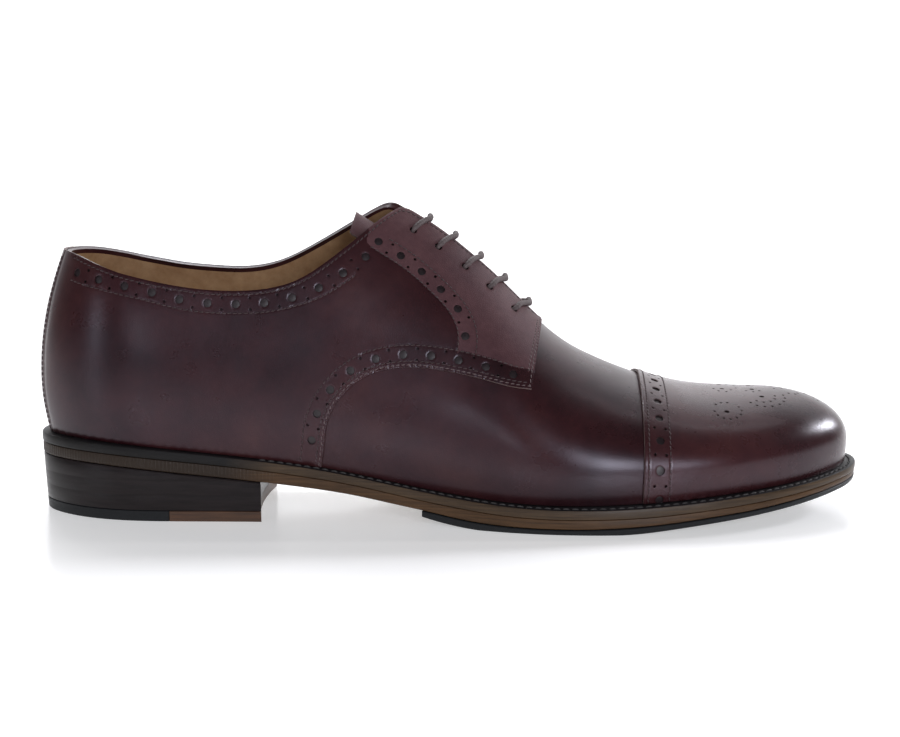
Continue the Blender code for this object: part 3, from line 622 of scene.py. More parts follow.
class Skin:
    """Points each used once, with a normal, a relief and the faces on them."""

    def __init__(self):
        self.index = {}
        self.points = []
        self.normals = []
        self.relief = []
        self.faces = []
        self.kinds = []

    def add(self, point, normal=(0.0, 0.0, 0.0), relief=0.0):
        key = tuple(np.round(point, 3))
        if key not in self.index:
            self.index[key] = len(self.points)
            self.points.append(np.array(point, float))
            self.normals.append(np.zeros(3))
            self.relief.append(relief)
        self.normals[self.index[key]] = self.normals[self.index[key]] + normal
        return self.index[key]

    def face(self, corners, kind=0):
        clean = [c for k, c in enumerate(corners) if c != corners[k - 1]]
        if len(clean) > 2:
            self.faces.append(clean)
            self.kinds.append(kind)

    def grid(self, rows, flip=False, kind=0):
        """Quads between rows of point numbers."""
        for low, high in zip(rows, rows[1:]):
            for k in range(len(low) - 1):
                quad = [low[k], low[k + 1], high[k + 1], high[k]]
                self.face(quad[::-1] if flip else quad, kind)

    def open_edges(self):
        """Edges with one face only, in the direction of that face."""
        used = {(a, b) for face in self.faces for a, b in zip(face, face[1:] + face[:1])}
        return [pair for pair in used if (pair[1], pair[0]) not in used]


def add_tube(points, faces, rings):
    """Closed tube through rings of equally many points."""
    first, around = len(points), len(rings[0])
    for ring in rings:
        points.extend(ring)
    last = len(points) - around
    for start in range(first, last, around):
        for k in range(around):
            a, b = start + k, start + (k + 1) % around
            faces.append([a, b, b + around, a + around])
    faces.append([first + k for k in reversed(range(around))])
    faces.append([last + k for k in range(around)])


# points of a wall this little over the welt keep their height, so its foot is level
FOOT_LEVEL = GAP + 0.4


def shell(name, skin, low, high, materials, wall_kind, level_low=True, under_kind=None):
    """Closed wall between two offsets of a skin."""
    base = np.array(skin.points)
    normals = unit(np.array(skin.normals))
    shared = unevenness(base)
    outer = base + normals * (shared + high + np.array(skin.relief))[:, None]
    inner = base + normals * (shared + low)[:, None]
    if level_low:
        at_foot = base[:, 2] < welt_top(base[:, 0]) + FOOT_LEVEL
        inner[at_foot, 2] = base[at_foot, 2]
        outer[at_foot, 2] = base[at_foot, 2]
    count = len(base)
    edges = sorted(skin.open_edges())
    faces = [list(face) for face in skin.faces]
    faces += [[c + count for c in reversed(face)] for face in skin.faces]
    faces += [[b, a, a + count, b + count] for a, b in edges]
    under = [k if under_kind is None or k == BINDING else under_kind for k in skin.kinds]
    walls = [wall_kind(base[a], base[b]) for a, b in edges]
    return mesh_object(name, np.concatenate([outer, inner]), faces, materials,
                       list(skin.kinds) + list(under) + walls)


# Upper

BINDING = 3
HEEL_FINE, SIDE_FINE, TOE_FINE, ROWS_FINE = 22, 150, 34, 46


def fine_arcs(side):
    start, end = arc_of(side, HEEL_POLE), arc_of(side, TOE_POLE)
    heel = np.linspace(0.0, start, HEEL_FINE, endpoint=False)
    middle = arc_of(side, np.linspace(HEEL_POLE, TOE_POLE, SIDE_FINE + 1))
    toe = np.linspace(end, FOOT_ARC[side][-1], TOE_FINE + 1)[1:]
    return np.concatenate([heel, middle, toe])


def foot_rise(side, arc):
    """Start of the wall, a little over the welt."""
    return rise_of_height(side, arc, welt_top(station_of(side, arc)) + FOOT_RISE)


def make_upper():
    """Vamp and lining in one hollow wall, its cut rim showing."""
    skin = Skin()
    for side in (LATERAL, MEDIAL):
        arcs = fine_arcs(side)
        low, high = foot_rise(side, arcs), rim_rise(side, arcs)
        numbers = []
        for part in np.linspace(0.0, 1.0, ROWS_FINE + 1):
            rise = low + (high - low) * part
            points, normals = last_point(side, arcs, rise), last_normal(side, arcs, rise)
            dips = -crease_depth(side, station_of(side, arcs), rise)
            numbers.append([skin.add(p, n, d) for p, n, d in zip(points, normals, dips)])
        skin.grid(numbers[:-1], flip=side == MEDIAL)
        skin.grid(numbers[-2:], flip=side == MEDIAL, kind=BINDING)
    piece = shell("upper_leather", skin, -UPPER_WALL, 0.0, [CALF, LINING, CUT_EDGE, CALF],
                  lambda a, b: BINDING, under_kind=1)
    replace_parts(piece, "upper")


# Panels of leather with punched holes and sunk rows of stitching

HOLE_LARGE, HOLE_SMALL, HOLE_EYELET = 1.55, 0.55, 1.45
# points round a hole, drop of its edge, distances of two level rings round
# it: for holes over 1 mm of radius and for smaller ones
HOLE_FORM = {True: (18, 0.10, (0.4, 0.8)), False: (10, 0.03, (0.25, 0.5))}
# share of a hole's radius in which a triangle's middle lies that is left out
HOLE_CLEAR = 0.93
EDGE_DROP, EDGE_ROUND = 0.20, 0.5
GROOVE, GROOVE_STEP = 0.15, 0.9
GROOVE_BESIDE = (-0.85, -0.5, 0.5, 0.85)
FILL_CLEAR = 0.55
STITCH_PITCH = 2.0


class Panel:
    """Flat points of a panel, each with its relief, and its closed loops."""

    def __init__(self, place):
        self.place = place
        self.flat, self.relief, self.loops = [], [], []

    def put(self, spots, relief=0.0, loop=False):
        if loop:
            ids = [len(self.flat) + k for k in range(len(spots))]
            self.loops.append(list(zip(ids, ids[1:] + ids[:1])))
        self.flat.extend(map(tuple, spots))
        self.relief.extend([relief] * len(spots))

    def put_edge(self, outline, step):
        """Outline, turned down, and a level line a little inside it."""
        edge = evenly(self.place, np.concatenate([outline, outline[:1]]), step)[:-1]
        self.put(edge, -EDGE_DROP, loop=True)
        ahead = np.roll(edge, -1, 0)
        area = np.sum(edge[:, 0] * ahead[:, 1] - ahead[:, 0] * edge[:, 1])
        outward = np.cross(*slopes(self.place, edge[:1]))[0] @ self.place(edge[:1])[1][0]
        closed = np.concatenate([edge[-3:], edge, edge[:3]])
        inside_it = beside(self.place, closed, math.copysign(EDGE_ROUND, area * outward))
        self.put(inside_it[3:-3][::2])

    def put_hole(self, centre, radius):
        count, drop, rings = HOLE_FORM[radius > 1.0]
        self.put(circle(self.place, centre, radius, count), -drop, loop=True)
        for ring in rings:
            self.put(circle(self.place, centre, radius + ring, count))

    def put_groove(self, row):
        """Row pressed in by its stitches, between level lines."""
        line = evenly(self.place, row, GROOVE_STEP)
        self.put(line, -GROOVE)
        for away in GROOVE_BESIDE:
            self.put(beside(self.place, line, away))

    def fill(self, step):
        """Staggered points over the rest, clear of those already there."""
        taken = self.place(np.array(self.flat))[0]
        edge = np.array([self.flat[a] for a, _ in self.loops[0]])
        low, high = edge.min(0) + step / 2, edge.max(0)
        up = np.arange(low[1], high[1], step)
        for i, u in enumerate(np.arange(low[0], high[0], step)):
            spots = np.stack([np.full(len(up), u), up + step / 2 * (i % 2)], -1)
            away = np.linalg.norm(self.place(spots)[0][:, None] - taken[None], axis=-1).min(1)
            self.put(spots[away > step * FILL_CLEAR])

    def skin(self, holes, kind_of):
        """Triangles between the points, left out over the holes."""
        hole_edges = [pair for loop in self.loops[1:] for pair in loop]
        found, _, faces, origin, _, _ = delaunay_2d_cdt(
            [Vector(p) for p in self.flat], hole_edges, [[a for a, _ in self.loops[0]]], 1, 1e-5)
        spots = np.array([tuple(p) for p in found])
        points, normals = self.place(spots)
        relief = [self.relief[ids[0]] if ids else 0.0 for ids in origin]
        corners = np.array([list(face) for face in faces])
        middles = points[corners].mean(1)
        keep = np.ones(len(corners), bool)
        for centre, radius in holes:
            spot = self.place(np.asarray(centre, float)[None])[0][0]
            keep &= np.linalg.norm(middles - spot, axis=1) > radius * HOLE_CLEAR
        kinds = kind_of(spots[corners].mean(1)) if kind_of else np.zeros(len(corners), int)
        skin = Skin()
        for face, kind in zip(corners[keep], kinds[keep]):
            skin.face([skin.add(points[c], normals[c], relief[c]) for c in face], int(kind))
        return skin


def cut_panel(place, outline, holes, rows, step, kind_of=None):
    """Skin over an outline, with holes left open and rows pressed in."""
    panel = Panel(place)
    panel.put_edge(outline, min(1.0, step))
    for hole in holes:
        panel.put_hole(*hole)
    for row in rows:
        panel.put_groove(row)
    panel.fill(step)
    return panel.skin(holes, kind_of)


STITCHES = {"light": [], "dark": []}
# place along a stitch, height over the leather, radius of its thread
STITCH_SHAPE = [(-0.86, -0.10, 0.16), (-0.55, 0.08, 0.24), (0.0, 0.15, 0.26),
                (0.55, 0.08, 0.24), (0.86, -0.10, 0.16)]
STITCH_AROUND = 6


def sew(place, row, thread, lift):
    """Remember the stitches of a row: middle, direction and normal of each."""
    line = evenly(place, row, STITCH_PITCH / 4)
    points, along, _, normals = row_frames(place, line)
    points = points + normals * (lift + unevenness(points))[:, None]
    for k in range(2, len(line) - 1, 4):
        STITCHES[thread].append((points[k], along[k], normals[k]))


def make_stitches(name, stitches, material, size, slant=0.16):
    """Short plump threads, each a closed tube that bows up in its middle."""
    points, faces = [], []
    for middle, along, normal in stitches:
        left = np.cross(normal, along)
        around = turned(left, normal, STITCH_AROUND)
        rings = [middle + along * forward * size + left * forward * slant * size
                 + normal * up * size + size * radius * around
                 for forward, up, radius in STITCH_SHAPE]
        add_tube(points, faces, rings)
    return mesh_object(name, points, faces, [material], sharp=80.0)


UNDERLAY_DEPTH = 0.7
# height over the disc's face and radius of its rings, from below
UNDERLAY_SHAPE = [(-0.3, HOLE_LARGE + 0.12), (0.0, HOLE_LARGE + 0.12), (0.12, 0.7)]
UNDERLAY_AROUND = 14
UNDERLAYS = []


def back_hole(place, flat):
    """Remember a disc of the layer that shows through a large hole."""
    point, normal = (values[0] for values in place(np.asarray(flat)[None]))
    lift = OVERLAY_HIGH - UNDERLAY_DEPTH + float(unevenness(point))
    UNDERLAYS.append((point + normal * lift, normal))


def make_underlays():
    points, faces = [], []
    for middle, normal in UNDERLAYS:
        around = turned(*across_of(normal), UNDERLAY_AROUND)
        add_tube(points, faces, [middle + around * radius + normal * up
                                 for up, radius in UNDERLAY_SHAPE])
    mesh_object("hole_underlays", points, faces, [UNDERLAY], sharp=60.0)


SMALL_HOLES_BESIDE = 2.1


def brogue_holes(place, row, spacing, start, stop=None):
    """Large holes along a row and a pair of small ones between each two."""
    large = evenly(place, row, spacing, start, stop)
    for spot in large:
        back_hole(place, spot)
    holes = [(spot, HOLE_LARGE) for spot in large]
    line = evenly(place, row, spacing, start + spacing / 2, stop)
    for away in (-SMALL_HOLES_BESIDE, SMALL_HOLES_BESIDE):
        holes += [(spot, HOLE_SMALL) for spot in beside(place, line, away)]
    return holes


# Rows of holes and stitches on the quarters
# station, rise along the middle of each band, as seen on the lateral side
TOP_BAND = [
    (14.0, 0.413), (16.0, 0.411), (26.8, 0.402), (38.1, 0.394), (46.9, 0.388), (57.2, 0.380),
    (66.5, 0.379), (77.3, 0.385), (86.8, 0.396), (97.6, 0.422), (106.6, 0.457),
    (116.9, 0.523), (124.5, 0.590), (128.0, 0.625),
]
FACING_BAND = [
    (127.0, 0.655), (129.0, 0.652), (136.6, 0.647), (144.4, 0.634), (151.7, 0.613),
    (158.0, 0.585), (161.0, 0.545), (161.4, 0.500), (161.0, 0.470),
]
FACING_LAST = (160.6, 0.520)
BAND_FROM_EDGE = 4.6
BAND_HALF = 3.35
THROAT_GAP = 1.6


def flat_row(arcs, rises):
    return np.stack([arcs, rises * RISE_SCALE], -1)


def rim_row(side, start, stop, count=90):
    """Flat places on the wall's upper rim between two stations."""
    arcs = arc_of(side, np.linspace(start, stop, count))
    return flat_row(arcs, rim_rise(side, arcs))


def table_row(side, table):
    return smooth_row([(float(arc_of(side, s)), rise * RISE_SCALE) for s, rise in table])


def strap_half(rise):
    return STRAP_HALF_LOW + (STRAP_HALF_TOP - STRAP_HALF_LOW) * rise


def flat_spot(side, station, rise_of, value):
    """Flat place at a station, its rise worked out from a height or radius."""
    arc = float(arc_of(side, station))
    return arc, float(rise_of(side, arc, value)) * RISE_SCALE


def edge_row(side):
    """A quarter's curved lower edge, from the welt to the front corner."""
    return smooth_row([flat_spot(side, s, rise_of_height, z) for s, z in QUARTER_EDGE], 90)


def front_row(side):
    """The short front edge, from the lower corner to the end of the throat."""
    spots = [flat_spot(side, s, rise_of_height, z) for s, z in QUARTER_FRONT]
    last = rim_row(side, THROAT_END - THROAT_GAP, THROAT_END - THROAT_GAP, 1)[0]
    return smooth_row([edge_row(side)[-1], *spots, last], 24)


def quarter_outline(side):
    """Closed outline: foot, lower edge, front edge, rim, back."""
    back_low, back_top = strap_half(0.0) + GAP, strap_half(0.5) + GAP
    lower = edge_row(side)
    arcs = np.linspace(back_low, lower[0][0], 90)
    foot = flat_row(arcs, foot_rise(side, arcs))
    rim = rim_row(side, THROAT_END - THROAT_GAP, 20.0, 200)
    tail = np.linspace(rim[-1][0], back_top, 14)[1:]
    tail = flat_row(tail, rim_rise(side, tail))
    return np.concatenate([foot, lower[1:], front_row(side)[1:], rim[1:], tail])


def inside(spots, border):
    """Which flat places lie inside a closed border."""
    result = np.zeros(len(spots), bool)
    for a, b in zip(border, np.roll(border, -1, 0)):
        crosses = (a[1] > spots[:, 1]) != (b[1] > spots[:, 1])
        at = a[0] + (spots[:, 1] - a[1]) / ((b[1] - a[1]) or 1e-9) * (b[0] - a[0])
        result ^= crosses & (spots[:, 0] < at)
    return result


def inwards(side, row, distance):
    """Move a row that has the quarter on its left on the lateral side."""
    return beside(side_chart(side), row, distance * -side)


# distances of the two rows of stitches from a cut edge
FIRST_SEAM, SECOND_SEAM = 0.9, 2.1
RIM_SEAM, THROAT_SEAM = 1.5, 1.9
# large holes of a band: spacing, distance of the first and of the last
EDGE_HOLES = (10.1, 9.5, 104.0)
TOP_HOLES = (10.3, 2.3)
FACING_HOLES = (9.7, 2.2, 46.0)
QUARTER_STEP = 1.9
# flat height that lies over every ridge, to close the facing's border
OVER_RIDGE = 130.0


def quarter_seams(side):
    """Rows of stitches, each with its thread."""
    lower, front = edge_row(side), front_row(side)
    top, facing = table_row(side, TOP_BAND), table_row(side, FACING_BAND)
    rim = rim_row(side, 12.5, FACING_TOP, 120)
    throat = rim_row(side, FACING_TOP, THROAT_END - 4.0, 60)
    # thread, row, distance to its inner side, first and last place used
    seams = [
        ("light", lower, FIRST_SEAM, 0, None), ("dark", lower, SECOND_SEAM, 2, -2),
        ("dark", lower, BAND_FROM_EDGE + BAND_HALF, 1, -3),
        ("light", front, FIRST_SEAM, 0, -2), ("light", front, SECOND_SEAM, 3, -4),
        ("dark", rim, -RIM_SEAM, 0, None), ("dark", top, -BAND_HALF, 0, -6),
        ("dark", facing, BAND_HALF, 5, None), ("dark", facing, -BAND_HALF, 1, None),
        ("dark", throat, -THROAT_SEAM, 0, None),
    ]
    return [(thread, inwards(side, row, away)[first:last])
            for thread, row, away, first, last in seams]


def quarter_holes(side, place):
    """Holes of the three bands, the facing's last one and the eyelets."""
    band = inwards(side, edge_row(side), BAND_FROM_EDGE)
    holes = brogue_holes(place, band, *EDGE_HOLES)
    holes += brogue_holes(place, table_row(side, TOP_BAND), *TOP_HOLES)
    holes += brogue_holes(place, table_row(side, FACING_BAND), *FACING_HOLES)
    last = (float(arc_of(side, FACING_LAST[0])), FACING_LAST[1] * RISE_SCALE)
    back_hole(place, last)
    return holes + [(last, HOLE_LARGE)] + [
        (flat_spot(side, station, rise_of_radius, radius), HOLE_EYELET)
        for _, radius, station in LACE_BARS]


def facing_border(side):
    """Closed border of the matte facing, wide of the panel in front and above."""
    panel_edge = inwards(side, table_row(side, FACING_BAND), -BAND_HALF)
    front_low = inwards(side, edge_row(side), BAND_FROM_EDGE + BAND_HALF)
    forward = front_low[front_low[:, 0] > panel_edge[-1][0]]
    ahead = front_row(side)[-1][0] + 30.0
    return np.concatenate([panel_edge, forward, [
        (ahead, forward[-1][1]), (ahead, OVER_RIDGE), (panel_edge[0][0], OVER_RIDGE)]])


def make_quarter(name, node, side):
    place = side_chart(side)
    seams, holes, matte = quarter_seams(side), quarter_holes(side, place), facing_border(side)
    skin = cut_panel(place, quarter_outline(side), holes, [row for _, row in seams],
                     QUARTER_STEP, lambda spots: inside(spots, matte).astype(int))
    piece = shell(name, skin, OVERLAY_LOW, OVERLAY_HIGH, [CALF, FACING, CUT_EDGE, PUNCHED],
                  wall_finder(place, holes, 2 if side == LATERAL else 0))
    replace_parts(piece, node)
    for thread, row in seams:
        sew(place, row, thread, OVERLAY_HIGH - GROOVE)


def wall_finder(place, holes, edge=2):
    """Which material a wall has: the punched one in holes, else the cut edge."""
    spots = place(np.array([centre for centre, _ in holes], float))[0]
    radii = np.array([radius for _, radius in holes])

    def kind(a, b):
        middle = (a + b) / 2
        near = np.linalg.norm(spots - middle, axis=1) < radii + 0.15
        return 3 if near.any() else edge
    return kind


# Toe cap

CAP_START = float(np.linspace(HEEL_POLE, TOE_POLE, CAP_COLUMNS)[CAP_COLUMN])
CAP_HOLES_BEHIND = 5.7
CAP_FRONT_ROW = 9.3


def cap_row(ahead, share_low=0.0):
    """Row across the cap at a distance ahead of its rear edge, lateral to medial."""
    rows = []
    for side in (LATERAL, MEDIAL):
        part = np.linspace(share_low, 1.0, 60)
        arc = float(arc_of(side, CAP_START))
        low = float(foot_rise(side, arc))
        rise = low + (1.0 - low) * part
        station = CAP_START + CAP_EDGE_FORWARD * part ** 2 + ahead
        rows.append(np.stack([station, side * (1.0 - rise) * CAP_SPREAD], -1))
    return np.concatenate([rows[0], rows[1][::-1][1:]])


def cap_outline():
    """Rear edge, then the foot round the toe."""
    border = [cap_row(0.0)]
    for side in (MEDIAL, LATERAL):
        arcs = fine_arcs(side)
        arcs = arcs[arcs > arc_of(side, CAP_START) + 0.5]
        foot = foot_rise(side, arcs)
        x, y = station_of(side, arcs), foot_side(side, arcs)
        pole_x = np.minimum(x, TOE_POLE)
        away = unit(np.stack([x - pole_x, y - ridge_side(pole_x)], -1))
        spots = np.stack([pole_x, np.zeros(len(x))], -1) + away * ((1 - foot) * CAP_SPREAD)[:, None]
        border.append(spots if side == MEDIAL else spots[::-1][1:])
    return np.concatenate(border)


# Medallion: station, distance from the ridge, radius of the hole
MEDALLION_LARGE = [
    (257.1, 22.9, 0.95), (272.7, 11.9, 0.95), (259.0, 3.7, 0.9), (270.5, 3.7, 0.9),
    (294.0, 1.9, 0.8),
]
# station, distance, radius of the arc, first angle, angle step, holes; angles
# in degrees turn from the toe towards the edge
MEDALLION_ARCS = [
    (257.6, 22.3, 5.2, -28.0, 29.0, 8), (257.6, 22.3, 5.6, 226.0, 26.0, 3),
    (273.9, 12.9, 7.6, -12.0, 23.0, 8), (273.2, 12.4, 4.5, -8.0, 36.0, 5),
    (259.0, 3.7, 3.4, 20.0, 52.0, 4), (270.5, 3.7, 3.2, 40.0, 52.0, 3),
    (286.0, 5.0, 3.6, 10.0, 50.0, 3),
]
# station, distance of single fine holes that trail to the toe's tip
MEDALLION_TRAIL = [(264.7, 2.2), (279.6, 2.6), (283.2, 1.2), (297.6, 5.6), (299.2, 7.8)]
MEDALLION_SMALL, MEDALLION_FINE = 0.52, 0.42
MEDALLION_SPACE = 0.75


def medallion():
    """The same ornament on both sides of the ridge."""
    holes = []
    for mirror in (LATERAL, MEDIAL):
        holes += [((station, mirror * away), size) for station, away, size in MEDALLION_LARGE]
        holes += [((station, mirror * away), MEDALLION_FINE) for station, away in MEDALLION_TRAIL]
        for station, away, radius, first, step, count in MEDALLION_ARCS:
            for k in range(count):
                angle = math.radians(first + step * k)
                spot = (station + radius * math.cos(angle),
                        mirror * (away + radius * math.sin(angle)))
                holes.append((spot, MEDALLION_SMALL))
    return spaced(holes)


def spaced(holes):
    """Drop a hole that would run into an earlier one."""
    kept, spots = [], []
    for flat, size in holes:
        spot = cap_chart(np.array([flat]))[0][0]
        if all(np.linalg.norm(spot - other) > size + far + MEDALLION_SPACE
               for other, far in spots):
            kept.append((flat, size))
            spots.append((spot, size))
    return kept


CAP_REAR_ROW = 1.6
CAP_HOLES = (10.6, 0.4)
CAP_STEP = 1.7


def make_toe_cap():
    rows = [("dark", cap_row(CAP_REAR_ROW, 0.01)), ("dark", cap_row(CAP_FRONT_ROW, 0.01))]
    holes = brogue_holes(cap_chart, cap_row(CAP_HOLES_BEHIND, 0.02), *CAP_HOLES)
    holes += medallion()
    skin = cut_panel(cap_chart, cap_outline(), holes, [row for _, row in rows], CAP_STEP)
    piece = shell("toe_cap_leather", skin, OVERLAY_LOW, OVERLAY_HIGH,
                  [CAP_CALF, FACING, CUT_EDGE, PUNCHED], wall_finder(cap_chart, holes))
    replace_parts(piece, "toe_cap")
    for thread, row in rows:
        sew(cap_chart, row, thread, OVERLAY_HIGH - GROOVE)


STRAP_ROWS, STRAP_ACROSS = 48, 25
STRAP_SEAM = 1.3


def make_back_strap():
    """Strip over the heel seam, from the welt to the topline."""
    skin = Skin()
    numbers = []
    for k in range(STRAP_ROWS + 1):
        share = k / STRAP_ROWS
        line = []
        for offset in np.linspace(-1.0, 1.0, STRAP_ACROSS):
            side = LATERAL if offset < 0 else MEDIAL
            arc = abs(offset) * strap_half(share * 0.5)
            low, high = float(foot_rise(side, arc)), float(rim_rise(side, arc))
            rise = low + (high - low) * share
            drop = -EDGE_DROP if abs(offset) == 1.0 else 0.0
            line.append(skin.add(last_point(side, arc, rise), last_normal(side, arc, rise), drop))
        numbers.append(line)
    skin.grid(numbers)
    piece = shell("back_strap_leather", skin, OVERLAY_LOW, OVERLAY_HIGH, [CALF, CUT_EDGE],
                  lambda a, b: 1)
    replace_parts(piece, "back_strap")
    for side in (LATERAL, MEDIAL):
        half = strap_half(np.linspace(0.0, 0.5, 60)) - STRAP_SEAM
        low, high = foot_rise(side, half), rim_rise(side, half)
        rises = low + (high - low) * np.linspace(0.02, 0.97, 60)
        sew(side_chart(side), flat_row(half, rises), "dark", OVERLAY_HIGH)


# Tongue

TONGUE_CORNER = 0.12
TONGUE_HOLLOW = 2.4
# lengths behind which the corners and the hollow of its end have gone
CORNER_LENGTH, HOLLOW_LENGTH = 5.0, 20.0
# distances of the rows near the end, where its corners turn
END_ROWS = np.array([0.0, 0.5, 1.2, 2.2])
ALONG_STEP, ACROSS_STEP = 0.5, 0.02


def tongue_point(station, across):
    """Point of the tongue's upper face; across runs from -1 to 1."""
    y = ridge_side(station) + across * tongue_half(station)
    drop = tongue_drop[LATERAL if across < 0 else MEDIAL](station)
    return np.array([station, float(y), float(tongue_crest(station) - drop * across ** 2)])


def make_tongue():
    """Tongue under the facings, its rounded end standing clear of the instep."""
    skin = Skin()
    rows = []
    start, end = TONGUE_TABLE[0][0], TONGUE_TABLE[-1][0]
    for station in np.concatenate([start + END_ROWS, np.linspace(start + 4, end, 56)]):
        corner = max(0.0, 1 - (station - start) / CORNER_LENGTH)
        reach = 1.0 - TONGUE_CORNER * (1 - math.sqrt(max(0.0, 1 - corner ** 2)))
        hollow = TONGUE_HOLLOW * max(0.0, 1 - (station - start) / HOLLOW_LENGTH)
        row = []
        for across in np.linspace(-reach, reach, 33):
            at = station - hollow * across ** 2
            along = tongue_point(at + ALONG_STEP, across) - tongue_point(at - ALONG_STEP, across)
            side = tongue_point(at, across + ACROSS_STEP) - tongue_point(at, across - ACROSS_STEP)
            row.append(skin.add(tongue_point(at, across), unit(np.cross(along, side))))
        rows.append(row)
    skin.grid(rows)
    piece = shell("tongue_leather", skin, -TONGUE_THICK, 0.0, [FACING, CUT_EDGE, LINING],
                  lambda a, b: 1, level_low=False, under_kind=2)
    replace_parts(piece, "tongue")


# Sole

def side_offsets(plan, stations):
    sides = two_sides(plan)
    return [np.interp(stations, *sides[side].T) for side in (LATERAL, MEDIAL)]


def rungs_at(start, end, plan, count, round_start, round_end):
    """Stations over a plan; a rounded end follows the plan's own tip."""
    t = np.linspace(0.0, 1.0, count + 1)
    if round_start and round_end:
        t = (1 - np.cos(math.pi * t)) / 2
    elif round_start:
        t = 1 - np.cos(math.pi / 2 * t)
    elif round_end:
        t = np.sin(math.pi / 2 * t)
    first = plan[:, 0].min() if round_start else start
    last = plan[:, 0].max() if round_end else end
    return first + (last - first) * t


def border(layer):
    """Closed loop of the point numbers round a layer."""
    loop = layer[0] + [rung[-1] for rung in layer[1:]] + layer[-1][-2::-1]
    loop += [rung[0] for rung in reversed(layer[1:-1])]
    return loop + loop[:1]


def slab(name, node, layers, materials, count, across, start=0.0, end=0.0,
         rounded=(True, True), hollow=(0.0, 0.0)):
    """Solid through layers of (plan, height, dish of the middle)."""
    share = np.linspace(0.0, 1.0, across)
    bow = 1 - (2 * share - 1) ** 2
    skin = Skin()
    rows = []
    for plan, height, dish in layers:
        stations = rungs_at(start, end, plan, count, *rounded)
        low, high = side_offsets(plan, stations)
        place = (stations - stations[0]) / (stations[-1] - stations[0])
        shift = np.outer((1 - place) ** 4 * hollow[0] + place ** 4 * hollow[1], bow)
        x = stations[:, None] + shift
        y = low[:, None] + (high - low)[:, None] * share
        rungs = np.stack([x, y, height(x) - dish * bow], -1)
        rows.append([[skin.add(p) for p in rung] for rung in rungs])
    skin.grid(rows[0])
    skin.grid(rows[-1])
    loops = [border(layer) for layer in rows]
    for upper, lower in zip(loops, loops[1:]):
        skin.grid([lower, upper])
    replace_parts(mesh_object(name, skin.points, skin.faces, materials), node)


def level(height):
    return lambda x: np.full(np.shape(x), height)


def moved(curve, by, limit=level(np.inf)):
    """A curve moved up, and nowhere over a limit."""
    return lambda x: np.minimum(curve(x) + by, limit(x))


def from_edge(layers):
    """Layers for a slab out of (inset from the sole's edge, height)."""
    return [(inset(SOLE_EDGE, depth), height, 0.0) for depth, height in layers]


WELT_SAMPLES = 1100
WELT_INSIDE = UPPER_WALL + 0.9


def make_welt():
    """Black welt that the upper stands on, its edge dressed brown."""
    pick = np.linspace(0, len(SOLE_EDGE), WELT_SAMPLES, endpoint=False).astype(int)
    low = moved(outsole_top, LAYER_GAP)
    plans = {depth: inset(SOLE_EDGE, depth) for depth in (0.0, 0.1, 0.2, 0.7, 1.6, 2.0, 2.5, 2.9)}
    plans["inner"] = foot_of_upper(WELT_INSIDE)
    # plan, height and lift over it, material of the face that follows
    profile = [
        (0.1, low, 0.0, 1), (0.0, low, 0.5, 1), (0.0, welt_top, -0.7, 1),
        (0.2, welt_top, -0.25, 0), (0.7, welt_top, 0.0, 0), (1.6, welt_top, 0.0, 0),
        (2.0, welt_top, -0.25, 0), (2.5, welt_top, -0.25, 0), (2.9, welt_top, 0.0, 0),
        ("inner", welt_top, 0.0, 0), ("inner", low, 0.0, 0),
    ]
    skin = Skin()
    loops = []
    for plan, height, lift, _ in profile:
        line = plans[plan][pick]
        loop = [skin.add(p) for p in np.column_stack([line, height(line[:, 0]) + lift])]
        loops.append(loop + loop[:1])
    loops.append(loops[0])
    for k, row in enumerate(profile):
        skin.grid(loops[k:k + 2], kind=row[3])
    piece = mesh_object("welt_strip", skin.points, skin.faces, [WELT_TOP, WELT_EDGE], skin.kinds)
    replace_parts(piece, "welt")


WELT_STITCH_PITCH = 3.3
WELT_STITCH_START = 84.0
CHANNEL_INSET, CHANNEL_DEEP = 2.25, 0.2


def welt_stitches():
    """Stitches in the channel of the welt, round the toe from the heel breast."""
    line = inset(SOLE_EDGE, CHANNEL_INSET)
    line = line[line[:, 0] > WELT_STITCH_START]
    gaps = np.hypot(*np.diff(line, axis=0).T)
    line = np.roll(line, -(int(gaps.argmax()) + 1), 0)
    reach = arc_length(line)
    flat = sampled(np.arange(0.0, reach[-1], WELT_STITCH_PITCH), reach, line)
    points = np.column_stack([flat, welt_top(flat[:, 0]) - CHANNEL_DEEP])
    along = unit(np.gradient(points, axis=0))
    up = np.cross(np.cross(along, (0.0, 0.0, 1.0)), along)
    return list(zip(points, along, unit(up)))


INSOLE_DISH = 0.35


def make_insole():
    """Tan sock that fills the welt's ring."""
    plan = foot_of_upper(WELT_INSIDE + GAP)
    layers = [(plan, moved(welt_top, INSOLE_RISE), INSOLE_DISH),
              (plan, moved(outsole_top, LAYER_GAP), 0.0)]
    slab("sock_lining", "insole", layers, [LINING], count=110, across=13)


def make_outsole():
    top, bottom = outsole_top, outsole_bottom
    layers = [(0.75, top), (0.42, moved(top, -0.25)), (EDGE_SETBACK, moved(top, -0.9)),
              (EDGE_SETBACK, moved(bottom, 0.9)), (0.4, moved(bottom, 0.3)), (0.8, bottom)]
    slab("outsole_leather", "outsole", from_edge(layers), [SOLE_EDGE_LEATHER], count=260, across=9)


def make_rubber():
    top = moved(outsole_bottom, -LAYER_GAP)
    layers = [(EDGE_SETBACK + 0.25, top), (EDGE_SETBACK, moved(top, -0.3)),
              (EDGE_SETBACK + 0.3, moved(rubber_bottom, 0.5, moved(top, -0.35))),
              (EDGE_SETBACK + 0.8, rubber_bottom)]
    slab("forepart_tread", "forepart_rubber", from_edge(layers), [RUBBER], count=180, across=9,
         start=RUBBER_START, rounded=(False, True), hollow=(6.0, 0.0))


HEEL_HIGH = 21.0
LIFT_JOINTS = (15.2, 9.8)
